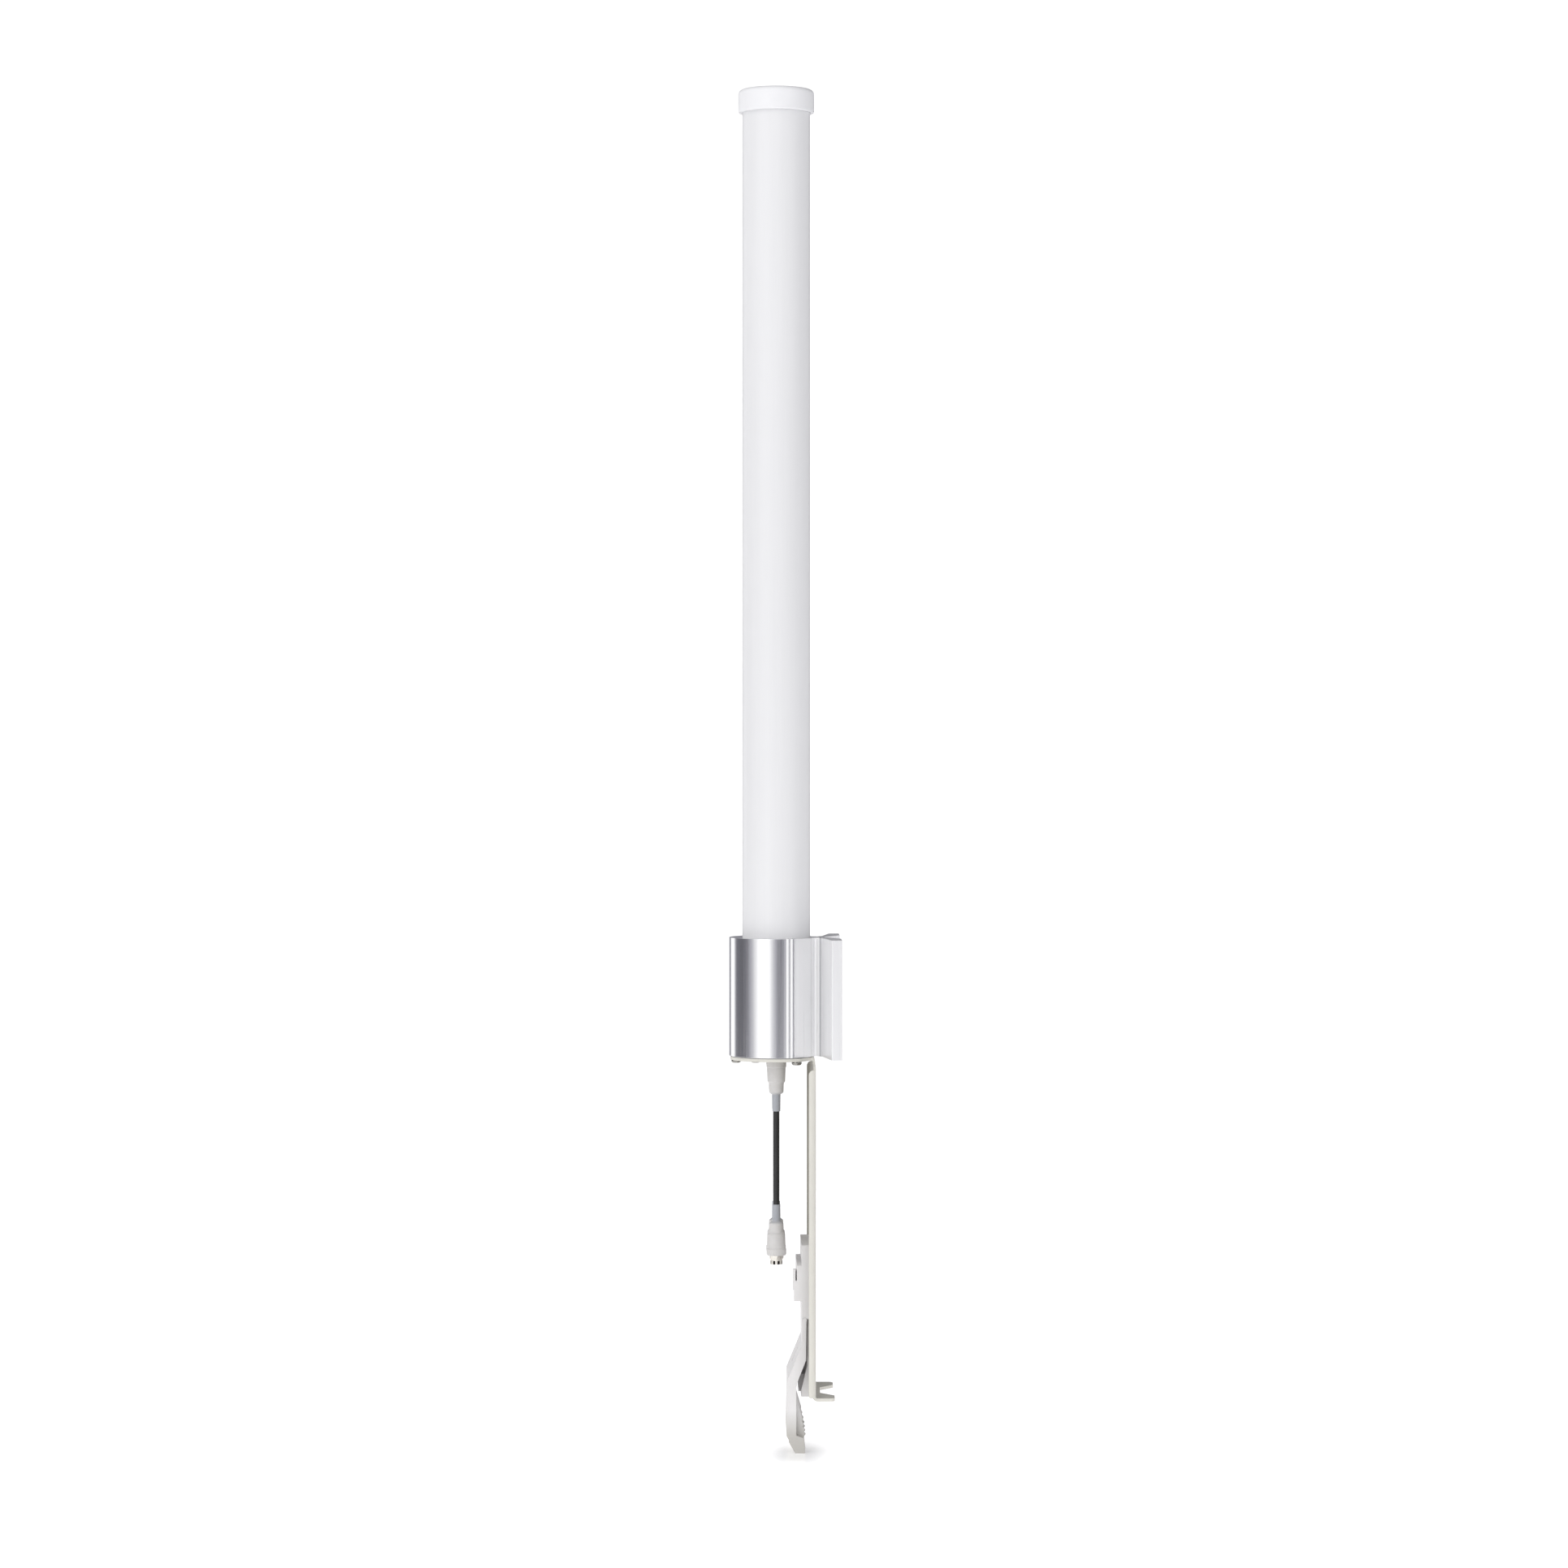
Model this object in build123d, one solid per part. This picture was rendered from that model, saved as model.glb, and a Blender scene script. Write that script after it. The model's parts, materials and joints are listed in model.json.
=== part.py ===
from build123d import *
import os
from math import cos, hypot, radians, sin, sqrt

# Pole-mounted omnidirectional antenna with two ports, and the bracket and cradle for its radio.
#
# The pieces are drawn with the tube's axis on Z, +X towards the mast, and z = 0 at half the
# height of the clamp extrusion. save() then moves them so that the origin is the middle of the
# jaw's mast face, which is where a mast carries the antenna. Everything is in millimetres.

# ---------------------------------------------------------------------------- driving dimensions
# radome
TUBE_R = 19.75
TUBE_WALL = 2.0
TUBE_BOTTOM = -31.5
TUBE_TOP = 525.8
TUBE_BORE_R = TUBE_R - TUBE_WALL

# top cap
CAP_R = 22.15
CAP_TOP = 529.3
CAP_LIP = 515.8
CAP_EDGE_R = 2.8
CAP_SPIGOT_BOTTOM = 515.3
CAP_SEAT_R = TUBE_R + 0.1
CAP_SPIGOT_R = TUBE_BORE_R - 0.35
CAP_SPIGOT_BORE_R = 15.0
PAD_BOTTOM = 503.3
PAD_R = 17.0

# O-rings, the same section in the cap and in the base plug
ORING_SECTION_R = 0.845
ORING_R = TUBE_BORE_R - 0.01 - ORING_SECTION_R
ORING_GROOVE_R = ORING_R - ORING_SECTION_R
ORING_GROOVE_W = 2.0
CAP_ORING_Z = 518.6
PLUG_ORING_Z = -26.0

# clamp extrusion
EXTRUSION_HALF = 34.5
BARREL_R = 27.4
BARREL_BORE_R = TUBE_R + 0.1
SIDE_FLAT = 24.2
SIDE_ANGLE = 42.0
SIDE_END_X = 20.2
SIDE_CORNER_R = 1.5
GROOVE_W = 0.7
GROOVE_FLOORS = ((7.65, 25.9), (9.85, 24.4), (23.8, 8.6))
NECK_HALF = 9.0
NECK_ROOT_R = 1.6
BEAD_X = 24.95
BEAD_R = 0.7
JAW_FACE_X = 37.5
JAW_BACK_X = 26.3
JAW_TIP_X = 31.6
JAW_HALF = 45.0
JAW_ROOT_R = 5.0
JAW_EDGE_R = 0.7
VEE_DEPTH = 9.5
VEE_HALF = 20.4
VEE_TOOTH_PITCH = 1.6
VEE_TOOTH_DEPTH = 0.8
PORT_CIRCLE_R = 23.4
PORT_ANGLES = (60, 180, 300)
PORT_DEPTH = 12.0
PORT_R = 1.52

# stack under the extrusion
GASKET_T = 0.5
GASKET_END_X = 19.4
SHEET_T = 1.8
PLATE_R = 26.7
PLATE_TAPER_X = 13.5
PLATE_HALF = 13.0
GASKET_BOTTOM = -EXTRUSION_HALF - GASKET_T
PLATE_BOTTOM = GASKET_BOTTOM - SHEET_T
CLEARANCE_HOLE_R = 1.7
PORT_SPACING = 18.0
PORT_Y = {"a": -PORT_SPACING / 2, "b": PORT_SPACING / 2}
BOOT_HOLE_R = 5.3
DRAIN_X = -12.0

# bracket below the plate
WEB_INNER_X = 20.8
WEB_OUTER_X = WEB_INNER_X + SHEET_T
BEND_IN_R = 1.0
BEND_OUT_R = BEND_IN_R + SHEET_T
FLANGE_EDGE_X = 18.45
FLANGE_HALF = 38.0
FLANGE_TOP = -40.6
FLANGE_BOTTOM = -229.5
FLANGE_CORNER_R = 2.9
SHOULDER_TOP = -38.2
TAB_BOTTOM = -232.0
TAB_TOP = TAB_BOTTOM + SHEET_T
TAB_END_X = 33.6
TAB_HALF = 34.0
TAB_CORNER_R = 3.0
TAB_NOTCH_X = 25.5
TAB_NOTCH_HALF = (10.3, 21.0)
TAB_TOOTH_PITCH = 2.0
TAB_TOOTH_DEPTH = 0.7
STRAP_SLOT = (4.0, 14.0)
STRAP_SLOT_Y = 31.0
STRAP_SLOT_Z = -218.0

# fasteners
SCREW_R = 1.5
SCREW_L = 12.0
DRAIN_SCREW_L = 6.0
PAN_HEAD_R = 2.9
PAN_HEAD_H = 2.1
RECESS_W = 0.9
RECESS_L = 3.4
RECESS_D = 1.1
CRADLE_SCREW_Y = 14.0
CRADLE_SCREWS_Z = (-155.0, -200.0)
CRADLE_SCREW_R = 1.75
CRADLE_SCREW_L = 5.0
COUNTERSINK_R = 3.7

# base plug
PLUG_TOP = -21.5
PLUG_R = TUBE_BORE_R - 0.1
COUNTERBORE_TOP = -31.3

# bulkhead jacks
THREAD_R = 2.8
JACK_HOLE_R = 2.85
JACK_END = -40.0
JACK_FLANGE_TOP = -19.3
JACK_BARREL_R = 2.2
JACK_TOP = -12.0
JACK_BORE_R = 2.05
JACK_NECK_BORE_R = 1.4
JACK_STEP = -20.5
JACK_INSULATOR_END = -39.7
PIN_R = 0.45
PIN_END = -42.2
WASHER_T = 0.4
WASHER_R = 4.2
HEX_FLATS = 8.0
HEX_CORNER_R = 4.5
JACK_NUT_H = 2.2

# spine, boards and feeds
SPINE_X = (-4.0, 4.0)
SPINE_HALF = 6.0
SPINE_T = 1.0
SPINE_BOTTOM = -8.0
SPINE_FLANGE_BOTTOM = 24.0
FOOT_T = 2.0
FOOT_HALF = 3.0
FOOT_LENGTH = 18.0
FOOT_TONGUE_TOP = 12.0
FOOT_SCREW_X = 7.0
FOOT_SCREW_R = 1.25
FOOT_SCREW_L = 8.0
BOARD_HALF = 14.0
BOARD_T = 0.8
BOARD_BOTTOM = 24.0
BOARD_TOP = 500.0
COPPER_T = 0.15
ELEMENTS = 10
ELEMENT_PITCH = 46.0
FIRST_ELEMENT_Z = 55.0
DIPOLE_W = 3.0
DIPOLE_ARM = 11.5
DIPOLE_GAP = 1.5
DIPOLE_Y = 9.0
FEED_LINE_W = 1.6
CROSS_ARM = 11.0
STANDOFF_R = 1.2
STANDOFFS_Z = (78.0, 170.0, 262.0, 354.0, 446.0)
SPACER_R = 17.6
SPACER_T = 10.0
SPACERS_Z = (101.0, 216.0, 331.0, 469.0)
SPACER_SLACK = 0.1
FEED_R = 1.0
FEED_X = -0.5
FEED_Y = 3.2
FEED_TOP = 239.0

# pigtails: heights of the two plug mouths, and the plug along its own axis from its mouth
UPPER_MOUTH = -36.0
LOWER_MOUTH = -155.5
NUT_LENGTH = 8.0
NUT_ROUND_L = 3.2
NUT_ROUND_R = 3.85
NUT_THREAD_R = 2.83
NUT_THREAD_L = 4.2
NUT_UNDERCUT_R = 3.0
NUT_SHOULDER = 5.2
NUT_SHOULDER_R = 2.45
SLEEVE_R = 2.4
RIM_R = 2.7
RIM = (4.4, 5.0)
COLLAR_R = 3.3
COLLAR = (8.3, 12.5)
FERRULE_R = 2.6
FERRULE_END = 18.0
DIELECTRIC_R = 2.0
DIELECTRIC_FRONT = 4.4
SOCKET_R = 0.63
SOCKET_BORE_R = 0.48
SOCKET_BORE_END = 7.2
CABLE_R = 1.775

# boots, along their own axis from the wide mouth
BOOT_OUTSIDE = ((5.75, 0.0), (5.75, 3.8), (5.45, 4.2), (5.15, 12.2), (4.45, 13.6), (4.0, 18.4),
                (2.6, 20.0), (2.3, 29.6))
BOOT_LENGTH = BOOT_OUTSIDE[-1][1]
BOOT_STEPS = ((4.75, 8.4), (3.5, 12.9), (2.8, 18.4), (CABLE_R + 0.05, BOOT_LENGTH))
UPPER_BOOT_MOUTH = PLATE_BOTTOM - 0.1
LOWER_BOOT_MOUTH = -150.3

# cradle
CRADLE_HALF = 29.0
CRADLE_TOP = -142.3
CRADLE_STEP_X = (14.4, 11.7, 10.0)
CRADLE_STEPS_Z = (-153.9, -162.8)
CRADLE_BLOCK_BOTTOM = -174.7
CRADLE_CORNER_R = 1.1
CRADLE_FACE_X = 14.5
RAIL_W = 5.0
LATCH_X = (9.4, 10.9)
LATCH_Z = (-167.7, -156.4)
LATCH_EDGE_R = 0.5
LATCH_WEB_T = 1.0
HINGE_X = 16.2
HINGE_Z = -185.6
HINGE_R = 1.3
HINGE_SEAT_R = 1.4
BODY_BOTTOM = HINGE_Z + 0.6
BACK_HALF = 24.0
BACK_X = 17.6
PAD_X = 14.2
PAD_SLOPE = (-213.0, -227.0)
PAD_BOTTOM_Z = -230.6
RIB_HALF = 12.0
RIB_X = 12.8
RIB_Z = (-229.0, -219.0)
POCKET_X = 14.6
POCKET_Y = (3.0, 9.5)
POCKET_Z = (-149.0, -181.0)

# release arm: the outline of its side walls, and what is taken out between them
ARM_WALL = 2.2
ARM_TOP = HINGE_Z + 0.2
ARM_FRONT = ((14.6, ARM_TOP), (14.6, -200.2), (6.3, -220.2), (5.8, -252.8), (7.0, -254.9))
ARM_FOOT = ((7.0, -256.2), (10.8, -263.0), (16.4, -263.0), (16.5, -259.5), (15.7, -253.9))
ARM_BACK = ((11.4, -252.4), (11.4, -224.6), (12.1, -221.3), (17.0, -208.9), (17.3, ARM_TOP))
ARM_HOLLOW = ((16.6, ARM_TOP + 1), (16.6, -200.6), (8.2, -220.9), (7.8, -252.6), (40.0, -252.6),
              (40.0, ARM_TOP + 1))
FOOT_SIDE_TOP = -251.9
FOOT_SIDE_IN = 2.6
ARM_BOTTOM = -263.0
RIB_ROOT = (10.8, -229.0)
RIB_BEND = (15.0, -243.5)
RIB_TIP = (16.9, -252.2)
RIB_FOOT = (15.7, -253.9)
RIB_TOOTH_PITCH = 2.8
RIB_TOOTH_DEPTH = 0.9
ARM_RIBS_Y = (-24.0, -8.7, 6.2, 21.5)
ARM_RIB_T = 2.5
MARK_X = 10.9
MARK_L = 9.0
MARK_W = 5.0
MARK_DEPTH = 0.6


# ------------------------------------------------------------------------------------- shape tools
def outline(*points):
    """Closed face through the points. A point is (x, y), or (x, y, radius) for a round corner."""
    face = make_face(Polyline(*[point[:2] for point in points], close=True))
    for x, y, radius in [point for point in points if len(point) == 3]:
        face = fillet(face.vertices().sort_by_distance((x, y, 0))[0], radius)
    return face


def upright(face, low, high):
    """Solid between two heights, from a face drawn in X and Y."""
    return Pos(0, 0, low) * extrude(face, high - low)


def across(face, low, high):
    """Solid between two values of Y, from a face drawn in X and Z."""
    return extrude(Plane.XZ.offset(-high) * face, high - low)


def through(face, low, high):
    """Solid between two values of X, from a face drawn in Y and Z."""
    return extrude(Plane.YZ.offset(low) * face, high - low)


def turned(points, x=0.0, y=0.0):
    """Solid of revolution about an upright axis, from (radius, height) points."""
    return Pos(x, y, 0) * revolve(Plane.XZ * outline(*points), Axis.Z)


def rod(radius, low, high, x=0.0, y=0.0):
    return Pos(x, y, 0) * upright(Circle(radius), low, high)


def ring(radius, bore, low, high, x=0.0, y=0.0):
    return rod(radius, low, high, x, y) - rod(bore, low - 1, high + 1, x, y)


def block(x, y, z):
    """Box between the two values of each axis."""
    size = [max(pair) - min(pair) for pair in (x, y, z)]
    return Pos(min(x), min(y), min(z)) * Box(*size, align=(Align.MIN, Align.MIN, Align.MIN))


def hexagon(low, high, x=0.0, y=0.0):
    """Hexagonal nut blank with its corners turned off at both ends."""
    chamfer_h = 0.5
    flats = upright(RegularPolygon(HEX_FLATS / 2, 6, major_radius=False), low, high)
    small = HEX_FLATS / 2
    turned_off = turned(((0, low), (small, low), (HEX_CORNER_R, low + chamfer_h),
                         (HEX_CORNER_R, high - chamfer_h), (small, high), (0, high)))
    return Pos(x, y, 0) * (flats & turned_off)


def toothed(start, end, pitch, depth):
    """Points of a sawtooth from start to end, cut to the left of the way it runs."""
    dx, dy = end[0] - start[0], end[1] - start[1]
    length = hypot(dx, dy)
    count = int(length / pitch)
    points = [start]
    for tooth in range(count):
        middle, tip = (tooth + 0.5) / count, (tooth + 1) / count
        points.append((start[0] + dx * middle - dy / length * depth,
                       start[1] + dy * middle + dx / length * depth))
        points.append((start[0] + dx * tip, start[1] + dy * tip))
    return points


def both_sides(solid):
    """The solid and its mirror image in the plane Y = 0, as one."""
    return solid + mirror(solid, Plane.XZ)


def ports():
    """The three screw places round the bottom of the extrusion."""
    return [(PORT_CIRCLE_R * cos(radians(a)), PORT_CIRCLE_R * sin(radians(a))) for a in PORT_ANGLES]


def save(name, shape):
    export_step(Pos(-JAW_FACE_X, 0, 0) * shape, f"parts/{name}.step")


# --------------------------------------------------------------------------------- radome and cap
def oring(height):
    return Pos(0, 0, height) * Torus(ORING_R, ORING_SECTION_R)


def oring_groove(height):
    half = ORING_GROOVE_W / 2
    return ring(TUBE_BORE_R + 1, ORING_GROOVE_R, height - half, height + half)


def top_cap():
    lip_r = 0.8
    shell = turned(((0, CAP_SPIGOT_BOTTOM), (CAP_SPIGOT_R, CAP_SPIGOT_BOTTOM),
                    (CAP_SPIGOT_R, TUBE_TOP), (CAP_SEAT_R, TUBE_TOP), (CAP_SEAT_R, CAP_LIP),
                    (CAP_R, CAP_LIP, lip_r), (CAP_R, CAP_TOP, CAP_EDGE_R), (0, CAP_TOP)))
    hollow = rod(CAP_SPIGOT_BORE_R, CAP_SPIGOT_BOTTOM - 1, TUBE_TOP)
    return shell - hollow - oring_groove(CAP_ORING_Z)


# -------------------------------------------------------------------------------- clamp extrusion
def barrel_section():
    """Round barrel with a flat each side of the neck and a square end where the neck joins."""
    clip = 2 * BARREL_R
    section = Circle(BARREL_R) - Pos(SIDE_END_X + clip / 2, 0) * Rectangle(clip, clip)
    for side in (-1, 1):
        section -= Rot(0, 0, side * SIDE_ANGLE) * Pos(SIDE_FLAT + clip / 2, 0) * Rectangle(clip, clip)
    return fillet(section.vertices().sort_by(Axis.X)[-2:], SIDE_CORNER_R)


def extrusion_section():
    """Barrel, and the neck and toothed jaw, which are drawn on the +Y side and mirrored."""
    vee = toothed((JAW_FACE_X - VEE_DEPTH, 0), (JAW_FACE_X, VEE_HALF), VEE_TOOTH_PITCH,
                  VEE_TOOTH_DEPTH)
    jaw = outline(*vee, (JAW_FACE_X, JAW_HALF, JAW_EDGE_R), (JAW_TIP_X, JAW_HALF, JAW_EDGE_R),
                  (JAW_BACK_X, NECK_HALF, JAW_ROOT_R), (SIDE_END_X - 1, NECK_HALF),
                  (SIDE_END_X - 1, 0))
    jaw += Pos(BEAD_X, NECK_HALF) * Circle(BEAD_R)
    root = Pos(SIDE_END_X, NECK_HALF) * Rectangle(2 * NECK_ROOT_R, 2 * NECK_ROOT_R)
    root -= Pos(SIDE_END_X + NECK_ROOT_R, NECK_HALF + NECK_ROOT_R) * Circle(NECK_ROOT_R)
    half = jaw + root
    section = barrel_section() + half + mirror(half, Plane.XZ)
    for x, floor in GROOVE_FLOORS:
        for side in (-1, 1):
            section -= Pos(x, side * (floor + GROOVE_W)) * Rectangle(GROOVE_W, 2 * GROOVE_W)
    return section - Circle(BARREL_BORE_R)


def clamp_extrusion():
    body = upright(extrusion_section(), -EXTRUSION_HALF, EXTRUSION_HALF)
    for x, y in ports():
        body -= rod(PORT_R, -EXTRUSION_HALF - 1, -EXTRUSION_HALF + PORT_DEPTH, x, y)
    return body


# --------------------------------------------------------------------- gasket, bracket and screws
def bottom_openings(low, high):
    """Screw, drain and boot holes that the gasket and the bracket's plate share."""
    holes = rod(CLEARANCE_HOLE_R, low, high, DRAIN_X)
    for x, y in ports():
        holes += rod(CLEARANCE_HOLE_R, low, high, x, y)
    for y in PORT_Y.values():
        holes += rod(BOOT_HOLE_R, low, high, 0, y)
    return holes


def plate_plan(end_x):
    """Round plate that narrows towards the bend, cut off square at end_x."""
    taper_half = sqrt(PLATE_R ** 2 - PLATE_TAPER_X ** 2)
    bend_x = WEB_INNER_X - BEND_IN_R
    taper = outline((0, -taper_half), (PLATE_TAPER_X, -taper_half), (bend_x, -PLATE_HALF),
                    (bend_x, PLATE_HALF), (PLATE_TAPER_X, taper_half), (0, taper_half))
    size = 2 * PLATE_R
    round_part = Circle(PLATE_R) - Pos(PLATE_TAPER_X + size / 2, 0) * Rectangle(size, size)
    return (round_part + taper) - Pos(end_x + size / 2, 0) * Rectangle(size, size)


def base_gasket():
    sheet = upright(plate_plan(GASKET_END_X), GASKET_BOTTOM, -EXTRUSION_HALF)
    return sheet - bottom_openings(GASKET_BOTTOM - 1, -EXTRUSION_HALF + 1)


def radio_support_bracket():
    plate_end = WEB_INNER_X - BEND_IN_R
    profile = outline((0, GASKET_BOTTOM), (WEB_OUTER_X, GASKET_BOTTOM, BEND_OUT_R),
                      (WEB_OUTER_X, TAB_TOP, BEND_IN_R), (TAB_END_X, TAB_TOP),
                      (TAB_END_X, TAB_BOTTOM), (WEB_INNER_X, TAB_BOTTOM, BEND_OUT_R),
                      (WEB_INNER_X, PLATE_BOTTOM, BEND_IN_R), (0, PLATE_BOTTOM))
    shoulder_r = 2.5
    front = outline((-PLATE_HALF, GASKET_BOTTOM + 1), (PLATE_HALF, GASKET_BOTTOM + 1),
                    (PLATE_HALF, SHOULDER_TOP - 1, 1.0), (FLANGE_HALF, SHOULDER_TOP - 1, shoulder_r),
                    (FLANGE_HALF, FLANGE_BOTTOM, 1.0), (TAB_HALF, FLANGE_BOTTOM, 1.0),
                    (TAB_HALF, TAB_BOTTOM - 1), (-TAB_HALF, TAB_BOTTOM - 1),
                    (-TAB_HALF, FLANGE_BOTTOM, 1.0), (-FLANGE_HALF, FLANGE_BOTTOM, 1.0),
                    (-FLANGE_HALF, SHOULDER_TOP - 1, shoulder_r),
                    (-PLATE_HALF, SHOULDER_TOP - 1, 1.0))
    strip = across(profile, -FLANGE_HALF, FLANGE_HALF)
    plate = upright(plate_plan(plate_end), PLATE_BOTTOM, GASKET_BOTTOM)
    body = plate + (strip & through(front, plate_end, TAB_END_X + 1))

    # side flanges, bent back from the web, with a large radius at their top corner
    inner = FLANGE_HALF - SHEET_T
    channel = outline((FLANGE_EDGE_X, -FLANGE_HALF), (WEB_OUTER_X, -FLANGE_HALF, BEND_OUT_R),
                      (WEB_OUTER_X, FLANGE_HALF, BEND_OUT_R), (FLANGE_EDGE_X, FLANGE_HALF),
                      (FLANGE_EDGE_X, inner), (WEB_INNER_X, inner, BEND_IN_R),
                      (WEB_INNER_X, -inner, BEND_IN_R), (FLANGE_EDGE_X, -inner))
    side = outline((FLANGE_EDGE_X, FLANGE_BOTTOM, 1.0), (WEB_OUTER_X + 1, FLANGE_BOTTOM),
                   (WEB_OUTER_X + 1, FLANGE_TOP), (FLANGE_EDGE_X, FLANGE_TOP, FLANGE_CORNER_R))
    corners = both_sides(block((WEB_INNER_X - 2, WEB_OUTER_X + 1), (inner - 2, FLANGE_HALF + 1),
                               (FLANGE_BOTTOM - 4, GASKET_BOTTOM)))
    body = body - corners + (upright(channel, FLANGE_BOTTOM, FLANGE_TOP)
                             & across(side, -FLANGE_HALF - 1, FLANGE_HALF + 1))

    # toothed notch that centres the tab on the mast
    root_half, mouth_half = TAB_NOTCH_HALF
    notch = toothed((TAB_NOTCH_X, root_half), (TAB_END_X, mouth_half), TAB_TOOTH_PITCH,
                    TAB_TOOTH_DEPTH)
    tab = outline((TAB_NOTCH_X, 0), *notch, (TAB_END_X, TAB_HALF, TAB_CORNER_R), (0, TAB_HALF),
                  (0, 0))
    below_bend = (TAB_BOTTOM - 1, TAB_TOP)
    body -= block((WEB_OUTER_X + BEND_IN_R, TAB_END_X + 1), (-FLANGE_HALF, FLANGE_HALF),
                  (TAB_BOTTOM - 1, TAB_TOP + 1)) - both_sides(upright(tab, *below_bend))

    body -= bottom_openings(PLATE_BOTTOM - 1, GASKET_BOTTOM + 1)
    for y in (-STRAP_SLOT_Y, STRAP_SLOT_Y):
        body -= through(Pos(y, STRAP_SLOT_Z) * SlotOverall(STRAP_SLOT[1], STRAP_SLOT[0], rotation=90),
                        WEB_INNER_X - 1, WEB_OUTER_X + 1)
    for y, z in cradle_screw_places():
        body -= countersunk_screw(y, z, CRADLE_SCREW_R + 0.15, COUNTERSINK_R)
    return body


def pan_head_screw(x, y, length):
    """Pan-head screw with a cross recess, its head under the bracket's plate."""
    low = PLATE_BOTTOM - PAN_HEAD_H
    screw = turned(((0, low), (PAN_HEAD_R, low, 1.3), (PAN_HEAD_R, PLATE_BOTTOM, 0.2),
                    (SCREW_R, PLATE_BOTTOM), (SCREW_R, PLATE_BOTTOM + length, 0.5),
                    (0, PLATE_BOTTOM + length)))
    recess = Pos(0, 0, low) * (Box(RECESS_L, RECESS_W, 2 * RECESS_D)
                               + Box(RECESS_W, RECESS_L, 2 * RECESS_D))
    return Pos(x, y, 0) * (screw - Rot(0, 0, 45) * recess)


def cradle_screw_places():
    return [(y, z) for z in CRADLE_SCREWS_Z for y in (-CRADLE_SCREW_Y, CRADLE_SCREW_Y)]


def countersunk_screw(y, z, radius, head_r):
    """Countersunk screw blank that lies along X, flush with the web's mast side."""
    blank = turned(((0, 0), (head_r, 0), (radius, -SHEET_T), (radius, -CRADLE_SCREW_L),
                    (0, -CRADLE_SCREW_L)))
    return Pos(WEB_OUTER_X, y, z) * Rot(0, 90, 0) * blank


def cradle_screws():
    recess = Box(RECESS_L, RECESS_W, 2 * RECESS_D) + Box(RECESS_W, RECESS_L, 2 * RECESS_D)
    return [countersunk_screw(y, z, CRADLE_SCREW_R, COUNTERSINK_R - 0.15)
            - Pos(WEB_OUTER_X, y, z) * Rot(0, 90, 0) * recess for y, z in cradle_screw_places()]


# ----------------------------------------------------------------------------- base plug and jacks
def base_plug():
    plug = turned(((0, -EXTRUSION_HALF), (TUBE_R, -EXTRUSION_HALF), (TUBE_R, TUBE_BOTTOM),
                   (PLUG_R, TUBE_BOTTOM), (PLUG_R, PLUG_TOP, 0.8), (0, PLUG_TOP)))
    plug -= oring_groove(PLUG_ORING_Z)
    plug -= rod(PORT_R, -EXTRUSION_HALF - 1, PLUG_TOP + 1, DRAIN_X)
    for y in PORT_Y.values():
        plug -= rod(JACK_HOLE_R, -EXTRUSION_HALF - 1, PLUG_TOP + 1, 0, y)
        plug -= rod(BOOT_HOLE_R, -EXTRUSION_HALF - 1, COUNTERBORE_TOP, 0, y)
    for x in (-FOOT_SCREW_X, FOOT_SCREW_X):
        plug -= rod(FOOT_SCREW_R + 0.02, PLUG_TOP - FOOT_SCREW_L + FOOT_T - 0.5, PLUG_TOP + 1, x)
    return plug


def jack_body(y):
    body = rod(THREAD_R, JACK_END, PLUG_TOP, 0, y) + rod(JACK_BARREL_R, PLUG_TOP, JACK_TOP, 0, y)
    body += hexagon(PLUG_TOP, JACK_FLANGE_TOP, 0, y)
    body -= rod(JACK_BORE_R, JACK_END - 1, JACK_STEP, 0, y)
    return body - rod(JACK_NECK_BORE_R, JACK_STEP - 1, JACK_TOP + 1, 0, y)


def jack_insulator(y):
    body = rod(JACK_BORE_R, JACK_INSULATOR_END, JACK_STEP, 0, y)
    body += rod(JACK_NECK_BORE_R, JACK_STEP, JACK_TOP, 0, y)
    return body - rod(PIN_R, JACK_INSULATOR_END - 1, JACK_TOP + 1, 0, y)


def jack_pin(y):
    tip = 0.25
    return turned(((0, PIN_END), (PIN_R - tip, PIN_END), (PIN_R, PIN_END + tip), (PIN_R, JACK_TOP),
                   (0, JACK_TOP)), 0, y)


def jack_nut(y):
    top = COUNTERBORE_TOP - WASHER_T
    return hexagon(top - JACK_NUT_H, top, 0, y) - rod(THREAD_R + 0.02, top - 5, top + 1, 0, y)


# ------------------------------------------------------------------------ spine, boards and feeds
def spine_channel():
    low_x, high_x = SPINE_X
    body = block(SPINE_X, (-SPINE_HALF, SPINE_HALF), (SPINE_BOTTOM, PAD_BOTTOM))
    inside = SPINE_HALF - SPINE_T
    body -= block((low_x - 1, high_x - SPINE_T), (-inside, inside),
                  (SPINE_BOTTOM - 1, PAD_BOTTOM + 1))
    body -= block((low_x - 1, high_x - SPINE_T), (-SPINE_HALF - 1, SPINE_HALF + 1),
                  (SPINE_BOTTOM - 1, SPINE_FLANGE_BOTTOM))
    window = 1.5 * FEED_R
    return body - through(Pos(PORT_Y["a"] / abs(PORT_Y["a"]) * FEED_Y, FEED_TOP) * Circle(window),
                          high_x - SPINE_T - 1, high_x + 1)


def spine_foot():
    top = PLUG_TOP + FOOT_T
    tongue_x = SPINE_X[1] - SPINE_T
    plate = block((-FOOT_LENGTH / 2, FOOT_LENGTH / 2), (-FOOT_HALF, FOOT_HALF), (PLUG_TOP, top))
    tongue = block((tongue_x - FOOT_T, tongue_x), (-FOOT_HALF, FOOT_HALF), (top, FOOT_TONGUE_TOP))
    body = plate + tongue
    for x in (-FOOT_SCREW_X, FOOT_SCREW_X):
        body -= rod(FOOT_SCREW_R + 0.1, PLUG_TOP - 1, top + 1, x)
    return body


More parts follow.
